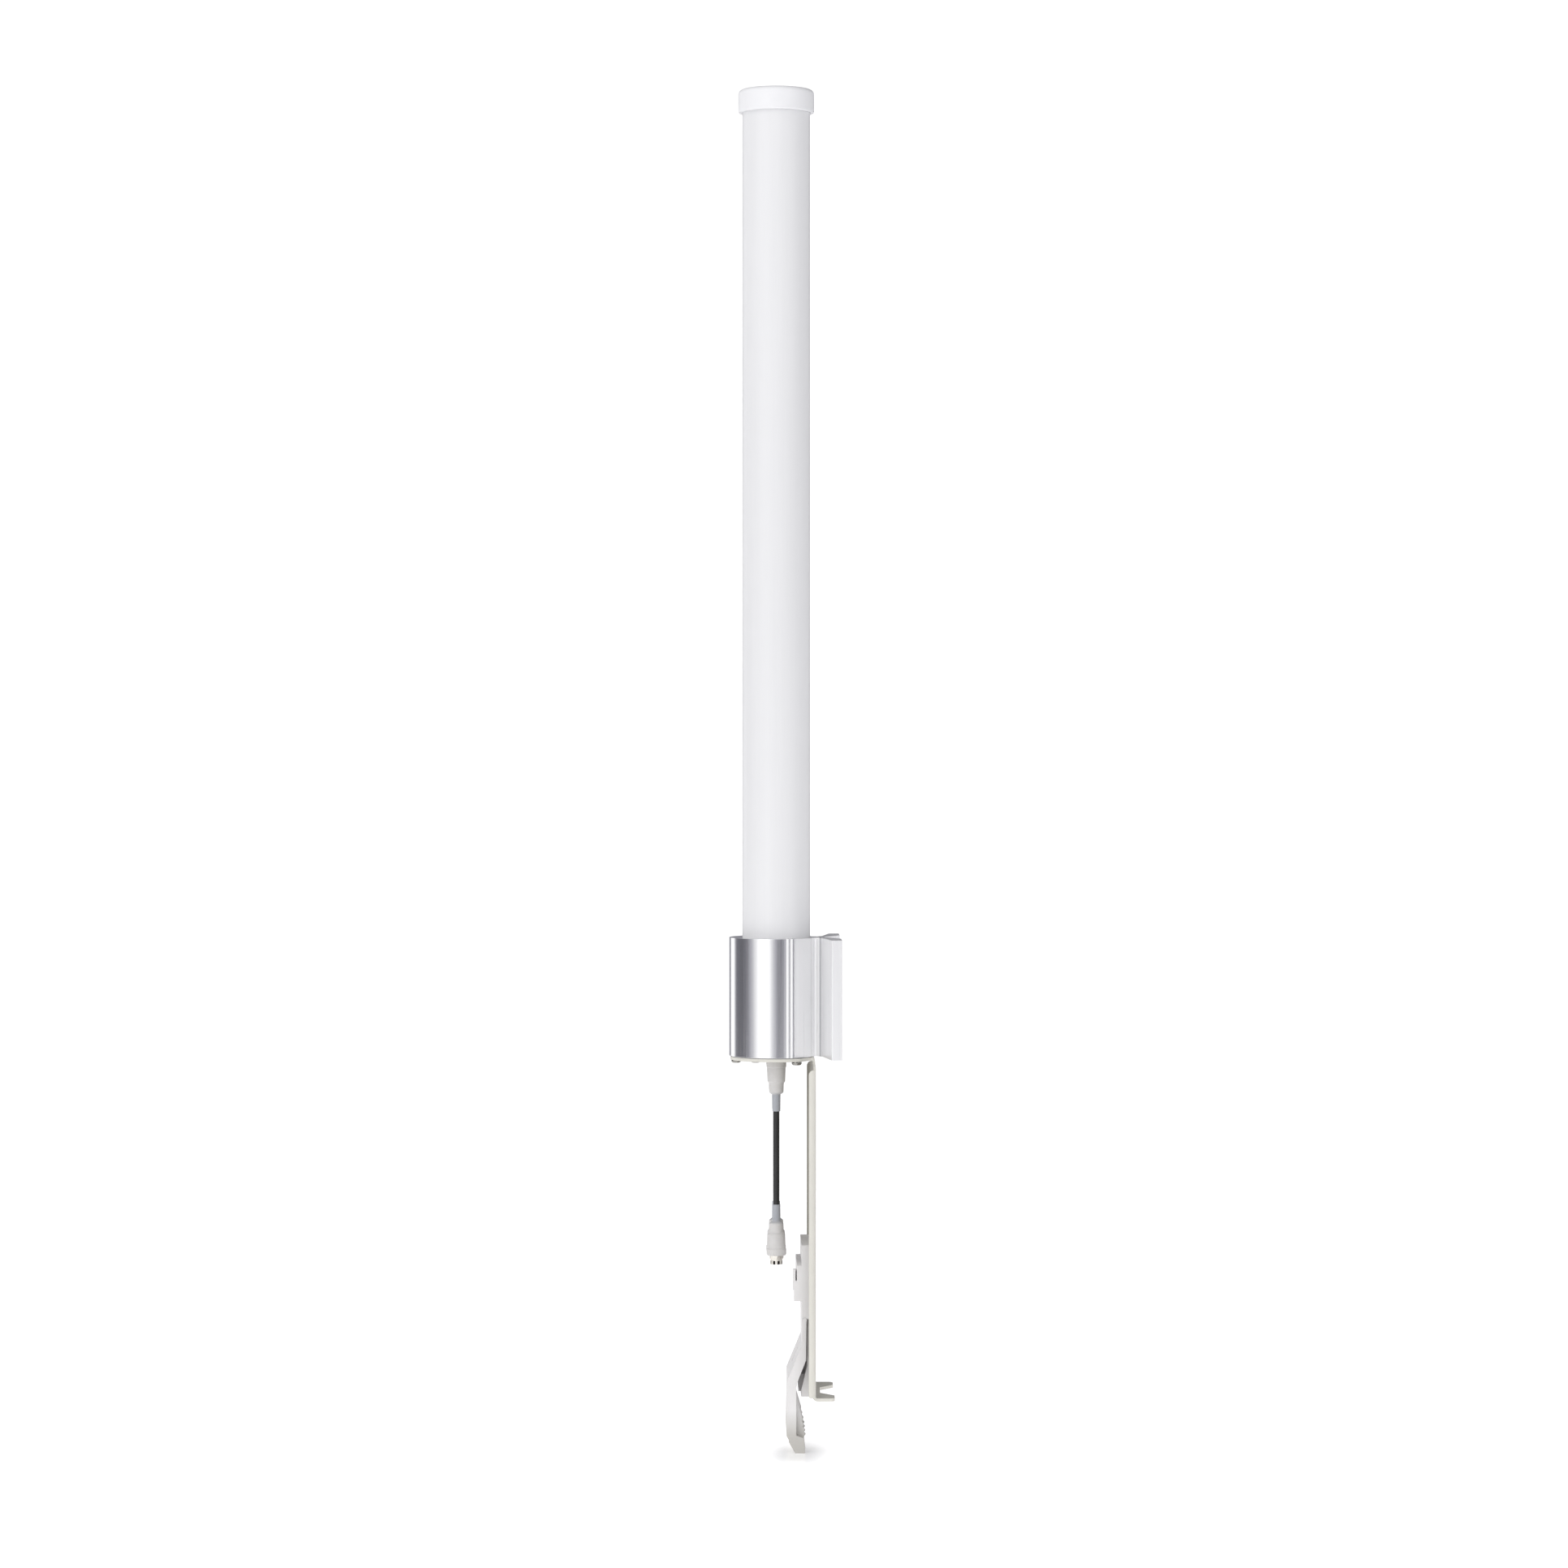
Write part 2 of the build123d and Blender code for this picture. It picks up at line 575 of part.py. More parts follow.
def foot_screw(x):
    top = PLUG_TOP + FOOT_T
    head_r, head_h = 1.9, 1.4
    screw = turned(((0, top - FOOT_SCREW_L), (FOOT_SCREW_R, top - FOOT_SCREW_L),
                    (FOOT_SCREW_R, top), (head_r, top), (head_r, top + head_h, 0.6),
                    (0, top + head_h)))
    return Pos(x, 0, 0) * (screw - Pos(0, 0, top + head_h) * Box(0.5, 2.4, 1.4))


def element_heights():
    return [FIRST_ELEMENT_Z + ELEMENT_PITCH * index for index in range(ELEMENTS)]


def board(low_x):
    corner = 1.0
    face = outline((-BOARD_HALF, BOARD_BOTTOM, corner), (BOARD_HALF, BOARD_BOTTOM, corner),
                   (BOARD_HALF, BOARD_TOP, corner), (-BOARD_HALF, BOARD_TOP, corner))
    return through(face, low_x, low_x + BOARD_T)


def feed_line():
    """Copper line up the middle of a board, from the lowest to the highest element."""
    heights = element_heights()
    length = heights[-1] - heights[0]
    return Pos(0, (heights[0] + heights[-1]) / 2) * Rectangle(FEED_LINE_W, length)


def vertical_dipoles():
    """Collinear upright dipoles: a pair of arms each side of the line, joined to it by a bar."""
    copper = feed_line()
    for z in element_heights():
        copper += Pos(0, z) * Rectangle(2 * DIPOLE_Y, DIPOLE_GAP)
        for y in (-DIPOLE_Y, DIPOLE_Y):
            copper += Pos(y, z) * Rectangle(DIPOLE_W, 2 * DIPOLE_ARM)
    low = SPINE_X[1] + BOARD_T
    return through(copper, low, low + COPPER_T)


def horizontal_radiators():
    """Level bars across the board, each with a turned-up end, for the other polarisation."""
    copper = feed_line()
    for z in element_heights():
        copper += Pos(0, z) * Rectangle(2 * CROSS_ARM, DIPOLE_W)
        for side in (-1, 1):
            copper += Pos(side * (CROSS_ARM - DIPOLE_W / 2), z + side * DIPOLE_W) * Rectangle(
                DIPOLE_W, 2 * DIPOLE_W)
    high = SPINE_X[0] - BOARD_T
    return through(copper, high - COPPER_T, high)


def standoff(z):
    return Pos(0, 0, z) * Rot(0, 90, 0) * rod(STANDOFF_R, SPINE_X[0], SPINE_X[1] - SPINE_T)


def foam_spacer(z):
    half_x = SPINE_X[1] + BOARD_T + COPPER_T + SPACER_SLACK
    half_y = BOARD_HALF + SPACER_SLACK
    return rod(SPACER_R, z, z + SPACER_T) - block((-half_x, half_x), (-half_y, half_y),
                                                  (z - 1, z + SPACER_T + 1))


def feed_coax(side, end_x):
    """Thin coax from a jack up inside the spine, ending square on the back of its board."""
    lead, low_bend_r, top_bend_r = 6.0, 20.0, 2.0
    y = side * FEED_Y
    route = [(0, side * PORT_SPACING / 2, JACK_TOP), (0, side * PORT_SPACING / 2, JACK_TOP + lead),
             (FEED_X, y, BOARD_BOTTOM - lead), (FEED_X, y, FEED_TOP), (end_x, y, FEED_TOP)]
    path = FilletPolyline(*route, radius=[low_bend_r, low_bend_r, top_bend_r])
    return sweep(Plane(origin=route[0], z_dir=(0, 0, 1)) * Circle(FEED_R), path)


# --------------------------------------------------------------------------------------- pigtails
def hang(shape, side, mouth, upwards):
    """Put a piece drawn along +Z from its mouth at a port, pointing up or down the cable."""
    turn = Rot(0, 0, 0) if upwards else Rot(180, 0, 0)
    return Pos(0, PORT_Y[side], mouth) * turn * shape


def coupling_nut():
    edge = 0.35
    body = turned(((0, 0), (NUT_ROUND_R - edge, 0), (NUT_ROUND_R, edge),
                   (NUT_ROUND_R, NUT_ROUND_L + 0.5), (0, NUT_ROUND_L + 0.5)))
    body += hexagon(NUT_ROUND_L, NUT_LENGTH)
    bore = turned(((0, -1), (NUT_THREAD_R + edge, -1), (NUT_THREAD_R + edge, 0),
                   (NUT_THREAD_R, edge), (NUT_THREAD_R, NUT_THREAD_L),
                   (NUT_UNDERCUT_R, NUT_THREAD_L), (NUT_UNDERCUT_R, NUT_SHOULDER),
                   (NUT_SHOULDER_R, NUT_SHOULDER), (NUT_SHOULDER_R, NUT_LENGTH + 1),
                   (0, NUT_LENGTH + 1)))
    return body - bore


def plug_body():
    start, end = RIM[0], COLLAR[1]
    return turned(((DIELECTRIC_R, start), (RIM_R, start), (RIM_R, RIM[1]), (SLEEVE_R, RIM[1]),
                   (SLEEVE_R, COLLAR[0]), (COLLAR_R, COLLAR[0], 0.3), (COLLAR_R, end, 0.3),
                   (DIELECTRIC_R, end)))


def plug_insulator():
    return ring(DIELECTRIC_R, SOCKET_R, DIELECTRIC_FRONT, COLLAR[1])


def plug_socket():
    return rod(SOCKET_R, DIELECTRIC_FRONT, COLLAR[1]) - rod(SOCKET_BORE_R, 0, SOCKET_BORE_END)


def ferrule():
    return ring(FERRULE_R, CABLE_R, COLLAR[1], FERRULE_END)


def boot():
    cavity = []
    depth = -1.0
    for radius, end in BOOT_STEPS:
        cavity += [(radius, depth), (radius, end)]
        depth = end
    cavity[-1] = (cavity[-1][0], BOOT_LENGTH + 1)
    outside = turned(((0, 0), *BOOT_OUTSIDE, (0, BOOT_LENGTH)))
    return outside - turned(((0, -1), *cavity, (0, BOOT_LENGTH + 1)))


def save_pigtail(side):
    """One pigtail: a straight length of coax with the same plug and boot at both ends."""
    low, high = LOWER_MOUTH + COLLAR[1], UPPER_MOUTH - COLLAR[1]
    save(f"pigtail_cable_{side}", rod(CABLE_R, low, high, 0, PORT_Y[side]))
    pieces = {"plug": plug_body(), "insulator": plug_insulator(), "socket": plug_socket(),
              "ferrule": ferrule(), "nut": coupling_nut()}
    for piece, shape in pieces.items():
        upper = "upper_plug_nut" if piece == "nut" else f"upper_{piece}"
        lower = "coupling_nut" if piece == "nut" else f"lower_{piece}"
        save(f"{upper}_{side}", hang(shape, side, UPPER_MOUTH, upwards=False))
        save(f"{lower}_{side}", hang(shape, side, LOWER_MOUTH, upwards=True))
    save(f"upper_boot_{side}", hang(boot(), side, UPPER_BOOT_MOUTH, upwards=False))
    save(f"lower_boot_{side}", hang(boot(), side, LOWER_BOOT_MOUTH, upwards=True))


# ----------------------------------------------------------------------------------- radio cradle
def rounded_top(x, half, top, bottom):
    """Block whose two upper corners, seen from the front, are rounded."""
    face = outline((-half, bottom), (half, bottom), (half, top, CRADLE_CORNER_R),
                   (-half, top, CRADLE_CORNER_R))
    return through(face, *x)


def cradle_body():
    shelf_x, face_x, lip_x = CRADLE_STEP_X
    body = rounded_top((shelf_x, WEB_INNER_X), CRADLE_HALF, CRADLE_TOP, CRADLE_BLOCK_BOTTOM)
    body += rounded_top((face_x, shelf_x), CRADLE_HALF, CRADLE_STEPS_Z[0], CRADLE_BLOCK_BOTTOM)
    rail = block((lip_x, face_x + 1), (CRADLE_HALF - RAIL_W, CRADLE_HALF),
                 (CRADLE_STEPS_Z[1], CRADLE_BLOCK_BOTTOM))
    body += both_sides(rail)
    body += block((CRADLE_FACE_X, WEB_INNER_X), (-CRADLE_HALF, CRADLE_HALF),
                  (CRADLE_BLOCK_BOTTOM, BODY_BOTTOM))

    # tongue on one rail that catches the radio, with a slot behind it and a web at its inner end
    tongue = outline((LATCH_X[0], LATCH_Z[0]), (LATCH_X[1], LATCH_Z[0]), (LATCH_X[1], LATCH_Z[1]),
                     (LATCH_X[0], LATCH_Z[1], LATCH_EDGE_R))
    inner_end = RAIL_W - CRADLE_HALF
    body += across(tongue, -CRADLE_HALF, inner_end)
    body += block((LATCH_X[1] - 0.5, face_x + 1), (inner_end - LATCH_WEB_T, inner_end), LATCH_Z)

    # back plate with a sloping pad and a middle rib, between the arm's side walls
    slope_top, slope_end = PAD_SLOPE
    back = outline((BACK_X, BODY_BOTTOM), (BACK_X, slope_top), (PAD_X, slope_end),
                   (PAD_X, PAD_BOTTOM_Z, 0.5), (WEB_INNER_X, PAD_BOTTOM_Z),
                   (WEB_INNER_X, BODY_BOTTOM))
    body += across(back, -BACK_HALF, BACK_HALF)
    body += block((RIB_X, BACK_X + 1), (-RIB_HALF, RIB_HALF), RIB_Z)

    # half-round seat along the bottom edge for the arm's hinge roll, and pockets in the back
    body -= across(Pos(HINGE_X, HINGE_Z) * Circle(HINGE_SEAT_R), -CRADLE_HALF - 1, CRADLE_HALF + 1)
    pocket = block((POCKET_X, WEB_INNER_X + 1), POCKET_Y, POCKET_Z)
    outer = Pos(0, CRADLE_SCREW_Y + POCKET_Y[0] - POCKET_Y[1] + 8, 0) * pocket
    body -= both_sides(pocket) + both_sides(outer)
    for y, z in cradle_screw_places():
        body -= countersunk_screw(y, z, CRADLE_SCREW_R + 0.02, COUNTERSINK_R)
    return body


def release_arm():
    walls = across(outline(*ARM_FRONT, *ARM_FOOT, *ARM_BACK), -CRADLE_HALF, CRADLE_HALF)
    inside = CRADLE_HALF - ARM_WALL
    body = walls - across(outline(*ARM_HOLLOW), -inside, inside)
    narrow = CRADLE_HALF - FOOT_SIDE_IN
    foot_sides = outline((-CRADLE_HALF, HINGE_Z + 5), (CRADLE_HALF, HINGE_Z + 5),
                         (CRADLE_HALF, FOOT_SIDE_TOP), (narrow, ARM_BOTTOM - 0.1),
                         (-narrow, ARM_BOTTOM - 0.1), (-CRADLE_HALF, FOOT_SIDE_TOP))
    body &= through(foot_sides, 0, WEB_INNER_X)

    # hinge roll along the top edge
    body += across(Pos(HINGE_X, HINGE_Z) * Circle(HINGE_R), -CRADLE_HALF, CRADLE_HALF)

    # ribs behind the foot, toothed where they grip the mast
    front_x = ARM_HOLLOW[3][0] - 0.5
    teeth = toothed(RIB_TIP, RIB_BEND, RIB_TOOTH_PITCH, RIB_TOOTH_DEPTH)
    rib = outline((front_x, RIB_ROOT[1]), (front_x, RIB_FOOT[1]), RIB_FOOT, *teeth, RIB_ROOT)
    for y in ARM_RIBS_Y:
        body += across(rib, y, y + ARM_RIB_T)

    # shallow thumb mark on the slope
    slope_start, slope_end = ARM_FRONT[1:3]
    run, fall = slope_end[0] - slope_start[0], slope_end[1] - slope_start[1]
    mark_z = slope_start[1] + fall * (MARK_X - slope_start[0]) / run
    slope = Plane(origin=(MARK_X, 0, mark_z), x_dir=(0, 1, 0), z_dir=(fall, 0, -run))
    return body - extrude(slope * SlotOverall(MARK_L, MARK_W, rotation=90), MARK_DEPTH, both=True)


# ------------------------------------------------------------------------------------------ output
os.makedirs("parts", exist_ok=True)

save("radome_tube", ring(TUBE_R, TUBE_BORE_R, TUBE_BOTTOM, TUBE_TOP))
save("top_cap", top_cap())
save("cap_oring", oring(CAP_ORING_Z))
save("cap_foam_pad", rod(PAD_R, PAD_BOTTOM, CAP_SPIGOT_BOTTOM))
save("clamp_extrusion", clamp_extrusion())
save("base_gasket", base_gasket())
save("radio_support_bracket", radio_support_bracket())
save("base_screws", Compound([pan_head_screw(x, y, SCREW_L) for x, y in ports()]))
save("drain_screw", pan_head_screw(DRAIN_X, 0, DRAIN_SCREW_L))
save("base_plug", base_plug())
save("plug_oring", oring(PLUG_ORING_Z))

save("jack_bodies", Compound([jack_body(y) for y in PORT_Y.values()]))
save("jack_insulators", Compound([jack_insulator(y) for y in PORT_Y.values()]))
save("jack_pins", Compound([jack_pin(y) for y in PORT_Y.values()]))
save("jack_nuts", Compound([jack_nut(y) for y in PORT_Y.values()]))
save("jack_lock_washers", Compound([ring(WASHER_R, JACK_HOLE_R, COUNTERBORE_TOP - WASHER_T,
                                         COUNTERBORE_TOP, 0, y) for y in PORT_Y.values()]))

save("spine_channel", spine_channel())
save("spine_foot", spine_foot())
save("spine_foot_screws", Compound([foot_screw(x) for x in (-FOOT_SCREW_X, FOOT_SCREW_X)]))
save("vertical_board", board(SPINE_X[1]))
save("vertical_dipoles", vertical_dipoles())
save("horizontal_board", board(SPINE_X[0] - BOARD_T))
save("horizontal_radiators", horizontal_radiators())
save("board_standoffs", Compound([standoff(z) for z in STANDOFFS_Z]))
save("foam_spacers", Compound([foam_spacer(z) for z in SPACERS_Z]))
save("feed_coax_a", feed_coax(-1, SPINE_X[1]))
save("feed_coax_b", feed_coax(1, SPINE_X[0]))

for port in PORT_Y:
    save_pigtail(port)

save("cradle_body", cradle_body())
save("cradle_screws", Compound(cradle_screws()))
save("release_arm", release_arm())
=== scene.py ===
import json
from math import cos, pi, radians, sin, tan

import bmesh
import bpy
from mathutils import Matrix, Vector


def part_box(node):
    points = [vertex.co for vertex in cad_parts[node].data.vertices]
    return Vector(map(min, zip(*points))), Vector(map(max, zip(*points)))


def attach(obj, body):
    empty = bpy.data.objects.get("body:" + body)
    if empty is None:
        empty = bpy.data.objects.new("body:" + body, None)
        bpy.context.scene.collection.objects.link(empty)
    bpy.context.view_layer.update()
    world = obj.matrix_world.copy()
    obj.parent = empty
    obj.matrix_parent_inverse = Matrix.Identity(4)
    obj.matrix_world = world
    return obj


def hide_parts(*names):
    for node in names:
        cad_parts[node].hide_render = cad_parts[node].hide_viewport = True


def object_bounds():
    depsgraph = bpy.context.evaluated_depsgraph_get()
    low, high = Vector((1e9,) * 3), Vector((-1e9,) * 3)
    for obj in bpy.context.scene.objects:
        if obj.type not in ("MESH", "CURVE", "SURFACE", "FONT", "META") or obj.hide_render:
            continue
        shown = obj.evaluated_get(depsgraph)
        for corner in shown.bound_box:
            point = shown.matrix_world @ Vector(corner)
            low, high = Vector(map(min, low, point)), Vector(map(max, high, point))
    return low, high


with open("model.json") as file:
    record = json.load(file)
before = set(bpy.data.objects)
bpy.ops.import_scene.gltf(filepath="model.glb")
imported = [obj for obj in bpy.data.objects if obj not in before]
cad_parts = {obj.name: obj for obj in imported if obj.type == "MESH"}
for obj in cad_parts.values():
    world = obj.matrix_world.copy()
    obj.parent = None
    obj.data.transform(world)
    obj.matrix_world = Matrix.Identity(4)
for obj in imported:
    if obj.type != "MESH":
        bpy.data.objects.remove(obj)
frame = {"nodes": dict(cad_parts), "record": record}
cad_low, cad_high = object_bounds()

# Looks of a pole-mounted omnidirectional antenna, in metres and in the CAD model's frame:
# +Z up along the radome tube, +X from the tube towards the mast.
MM = 0.001
PORTS = ("a", "b")
PIGTAIL_ENDS = ("upper", "lower")
WHITE = (1, 1, 1, 1)
scene = bpy.context.scene


def middle(node):
    """Centre of a CAD node's box."""
    low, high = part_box(node)
    return (low + high) / 2


TUBE_AXIS = middle("radome_tube")
FLOOR_Z = cad_low.z


# ------------------------------------------------------------------------------ camera and studio
CAMERA_DISTANCE = 2.7
CAMERA_LENS = 106.1
CAMERA_SENSOR = 36.0
CAMERA_AZIMUTH = radians(-0.6)
CAMERA_HEIGHT = 159.9 * MM
AIM_PAST_TUBE = 4.55 * MM
PICTURE_DROP = 36.0 * MM


def make_camera():
    """Level camera, a little above the clamp, with the picture shifted down by its lens."""
    target = Vector((TUBE_AXIS.x + AIM_PAST_TUBE, TUBE_AXIS.y, CAMERA_HEIGHT))
    back = Vector((sin(CAMERA_AZIMUTH), -cos(CAMERA_AZIMUTH), 0))
    camera = bpy.data.objects.new("camera", bpy.data.cameras.new("camera"))
    camera.data.lens = CAMERA_LENS
    camera.data.sensor_width = CAMERA_SENSOR
    camera.data.shift_y = -PICTURE_DROP * CAMERA_LENS / (CAMERA_SENSOR * CAMERA_DISTANCE)
    camera.location = target + back * CAMERA_DISTANCE
    camera.rotation_mode = "QUATERNION"
    camera.rotation_quaternion = (-back).to_track_quat("-Z", "Y")
    scene.collection.objects.link(camera)
    scene.camera = camera


make_camera()

# Brightness of the studio at the height of the camera, by azimuth in degrees from the camera's side
# towards the mast's side: soft boxes with dark gaps between them, which metal shows as bands.
STUDIO = ((-180, 0.3), (-166, 0.32), (-158, 0.2), (-151, 0.5), (-146, 1.1), (-135, 1.5),
          (-127, 1.2), (-121, 0.36), (-116, 0.2), (-100, 0.13), (-86, 0.14), (-76, 0.22),
          (-63, 0.52), (-50, 1.0), (-42, 1.4), (-20, 1.4), (-13, 0.95), (-6, 0.6), (0, 0.34),
          (6, 0.2), (14, 0.24), (22, 0.42), (28, 0.9), (45, 0.72), (75, 0.5), (105, 0.5),
          (122, 1.0), (138, 1.0), (150, 0.35), (180, 0.3))
# the bands fade out between these angles above and below the horizon, in degrees
BAND_ELEVATIONS = (10.0, 24.0)
# colour of the darkest gaps, which whitens as they brighten
DARK_TINT = (0.93, 0.92, 1.08)
# above and below the bands it is brightest towards the camera's left, and dimmer overhead
SKY_AZIMUTH = radians(-30)
SKY_LEVELS = (0.03, 1.62)
ZENITH_FROM = 0.5
ZENITH_LEVEL = 0.52
BACKDROP_LEVEL = 1.1


def math_node(tree, operation, *values):
    """Result of a Math node, whose values are numbers or other nodes' outputs."""
    node = tree.nodes.new("ShaderNodeMath")
    node.operation = operation
    for socket, value in zip(node.inputs, values):
        if isinstance(value, (int, float)):
            socket.default_value = value
        else:
            tree.links.new(value, socket)
    return node.outputs[0]


def map_node(tree, value, start, end, low, high, interpolation="SMOOTHSTEP"):
    """The value, with its range from start to end mapped to low and high, and held beyond them."""
    node = tree.nodes.new("ShaderNodeMapRange")
    node.interpolation_type = interpolation
    tree.links.new(value, node.inputs["Value"])
    limits = (("From Min", start), ("From Max", end), ("To Min", low), ("To Max", high))
    for socket, number in limits:
        node.inputs[socket].default_value = number
    return node.outputs["Result"]


def studio_bands(tree, azimuth):
    """Light of the soft boxes and gaps, from a ramp that runs once round the object."""
    turn = math_node(tree, "MULTIPLY_ADD", azimuth, 1 / (2 * pi), 0.5)
    ramp = tree.nodes.new("ShaderNodeValToRGB")
    tree.links.new(turn, ramp.inputs["Fac"])
    stops = ramp.color_ramp.elements
    stops.remove(stops[1])
    brightest = max(level for _, level in STUDIO)
    for degrees, level in STUDIO:
        position = (degrees + 180) / 360
        stop = stops[0] if position == 0 else stops.new(position)
        white = min(1.0, level)
        tint = [part + (1 - part) * white for part in DARK_TINT]
        stop.color = (*[level / brightest * part for part in tint], 1.0)
    bands = tree.nodes.new("ShaderNodeBackground")
    tree.links.new(ramp.outputs["Color"], bands.inputs["Color"])
    bands.inputs["Strength"].default_value = brightest
    return bands.outputs[0]


def mix_shaders(tree, factor, first, second):
    mix = tree.nodes.new("ShaderNodeMixShader")
    for socket, value in zip(mix.inputs, (factor, first, second)):
        tree.links.new(value, socket)
    return mix.outputs[0]


def make_studio():
    world = bpy.data.worlds.new("studio")
    world.use_nodes = True
    scene.world = world
    tree = world.node_tree
    tree.nodes.clear()

    ray = tree.nodes.new("ShaderNodeTexCoord").outputs["Generated"]
    split = tree.nodes.new("ShaderNodeSeparateXYZ")
    tree.links.new(ray, split.inputs[0])
    x, y, z = split.outputs
    azimuth = math_node(tree, "ARCTAN2", x, math_node(tree, "MULTIPLY", y, -1.0))

    toward = math_node(tree, "COSINE", math_node(tree, "SUBTRACT", azimuth, SKY_AZIMUTH))
    level = math_node(tree, "MULTIPLY", map_node(tree, toward, -1, 1, *SKY_LEVELS),
                      map_node(tree, z, ZENITH_FROM, 1.0, 1.0, ZENITH_LEVEL))
    sky = tree.nodes.new("ShaderNodeBackground")
    sky.inputs["Color"].default_value = WHITE
    tree.links.new(level, sky.inputs["Strength"])

    low, high = (sin(radians(elevation)) for elevation in BAND_ELEVATIONS)
    above = map_node(tree, math_node(tree, "ABSOLUTE", z), low, high, 0.0, 1.0)
    light = mix_shaders(tree, above, studio_bands(tree, azimuth), sky.outputs[0])

    # the backdrop itself is plain white
    backdrop = tree.nodes.new("ShaderNodeBackground")
    backdrop.inputs["Color"].default_value = WHITE
    backdrop.inputs["Strength"].default_value = BACKDROP_LEVEL
    seen = tree.nodes.new("ShaderNodeLightPath").outputs["Is Camera Ray"]
    output = tree.nodes.new("ShaderNodeOutputWorld")
    tree.links.new(mix_shaders(tree, seen, light, backdrop.outputs[0]), output.inputs["Surface"])
    scene.view_settings.view_transform = "Standard"


make_studio()

FLOOR_R = 1.5
FLOOR_SEGMENTS = 128
FLOOR_COLOUR = (0.88, 0.88, 0.88, 1)
FLOOR_ROUGHNESS = 0.2
FLOOR_SPECULAR = 0.2
# the floor's own glow hides shadows, so it is weaker near the foot: its levels there and beyond,
# the distances between which it grows, and how much of a distance counts along Y
FLOOR_GLOW = (0.24, 0.70)
GLOW_REACH = (3 * MM, 26 * MM)
GLOW_DEPTH = 0.45


def make_floor():
    """Pale floor that shows a shadow and a faint reflection only by the near end of the foot."""
    mesh = bpy.data.meshes.new("floor")
    builder = bmesh.new()
    bmesh.ops.create_circle(builder, cap_ends=True, segments=FLOOR_SEGMENTS, radius=FLOOR_R)
    builder.to_mesh(mesh)
    builder.free()
    floor = bpy.data.objects.new("floor", mesh)
    foot_low, foot_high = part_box("release_arm")
    floor.location = ((foot_low.x + foot_high.x) / 2, foot_low.y, FLOOR_Z)
    scene.collection.objects.link(floor)
    material = bpy.data.materials.new("white_floor")
    material.use_nodes = True
    tree = material.node_tree
    shader = tree.nodes["Principled BSDF"]
    shader.inputs["Base Color"].default_value = FLOOR_COLOUR
    shader.inputs["Roughness"].default_value = FLOOR_ROUGHNESS
    shader.inputs["Specular IOR Level"].default_value = FLOOR_SPECULAR
    shader.inputs["Emission Color"].default_value = WHITE
    squeeze = tree.nodes.new("ShaderNodeMapping")
    squeeze.inputs["Scale"].default_value = (1, GLOW_DEPTH, 1)
    tree.links.new(tree.nodes.new("ShaderNodeTexCoord").outputs["Object"], squeeze.inputs["Vector"])
    far = tree.nodes.new("ShaderNodeVectorMath")
    far.operation = "LENGTH"
    tree.links.new(squeeze.outputs["Vector"], far.inputs[0])
    tree.links.new(map_node(tree, far.outputs["Value"], *GLOW_REACH, *FLOOR_GLOW),
                   shader.inputs["Emission Strength"])
    mesh.materials.append(material)


make_floor()


# ---------------------------------------------------------------------------------------- materials
BEVEL_SAMPLES = 6
# a band fades out over this share of its half width, beyond it
BAND_FADE = 0.3
# values between which a noise mostly lies
NOISE_LOW = 0.3
NOISE_HIGH = 0.7


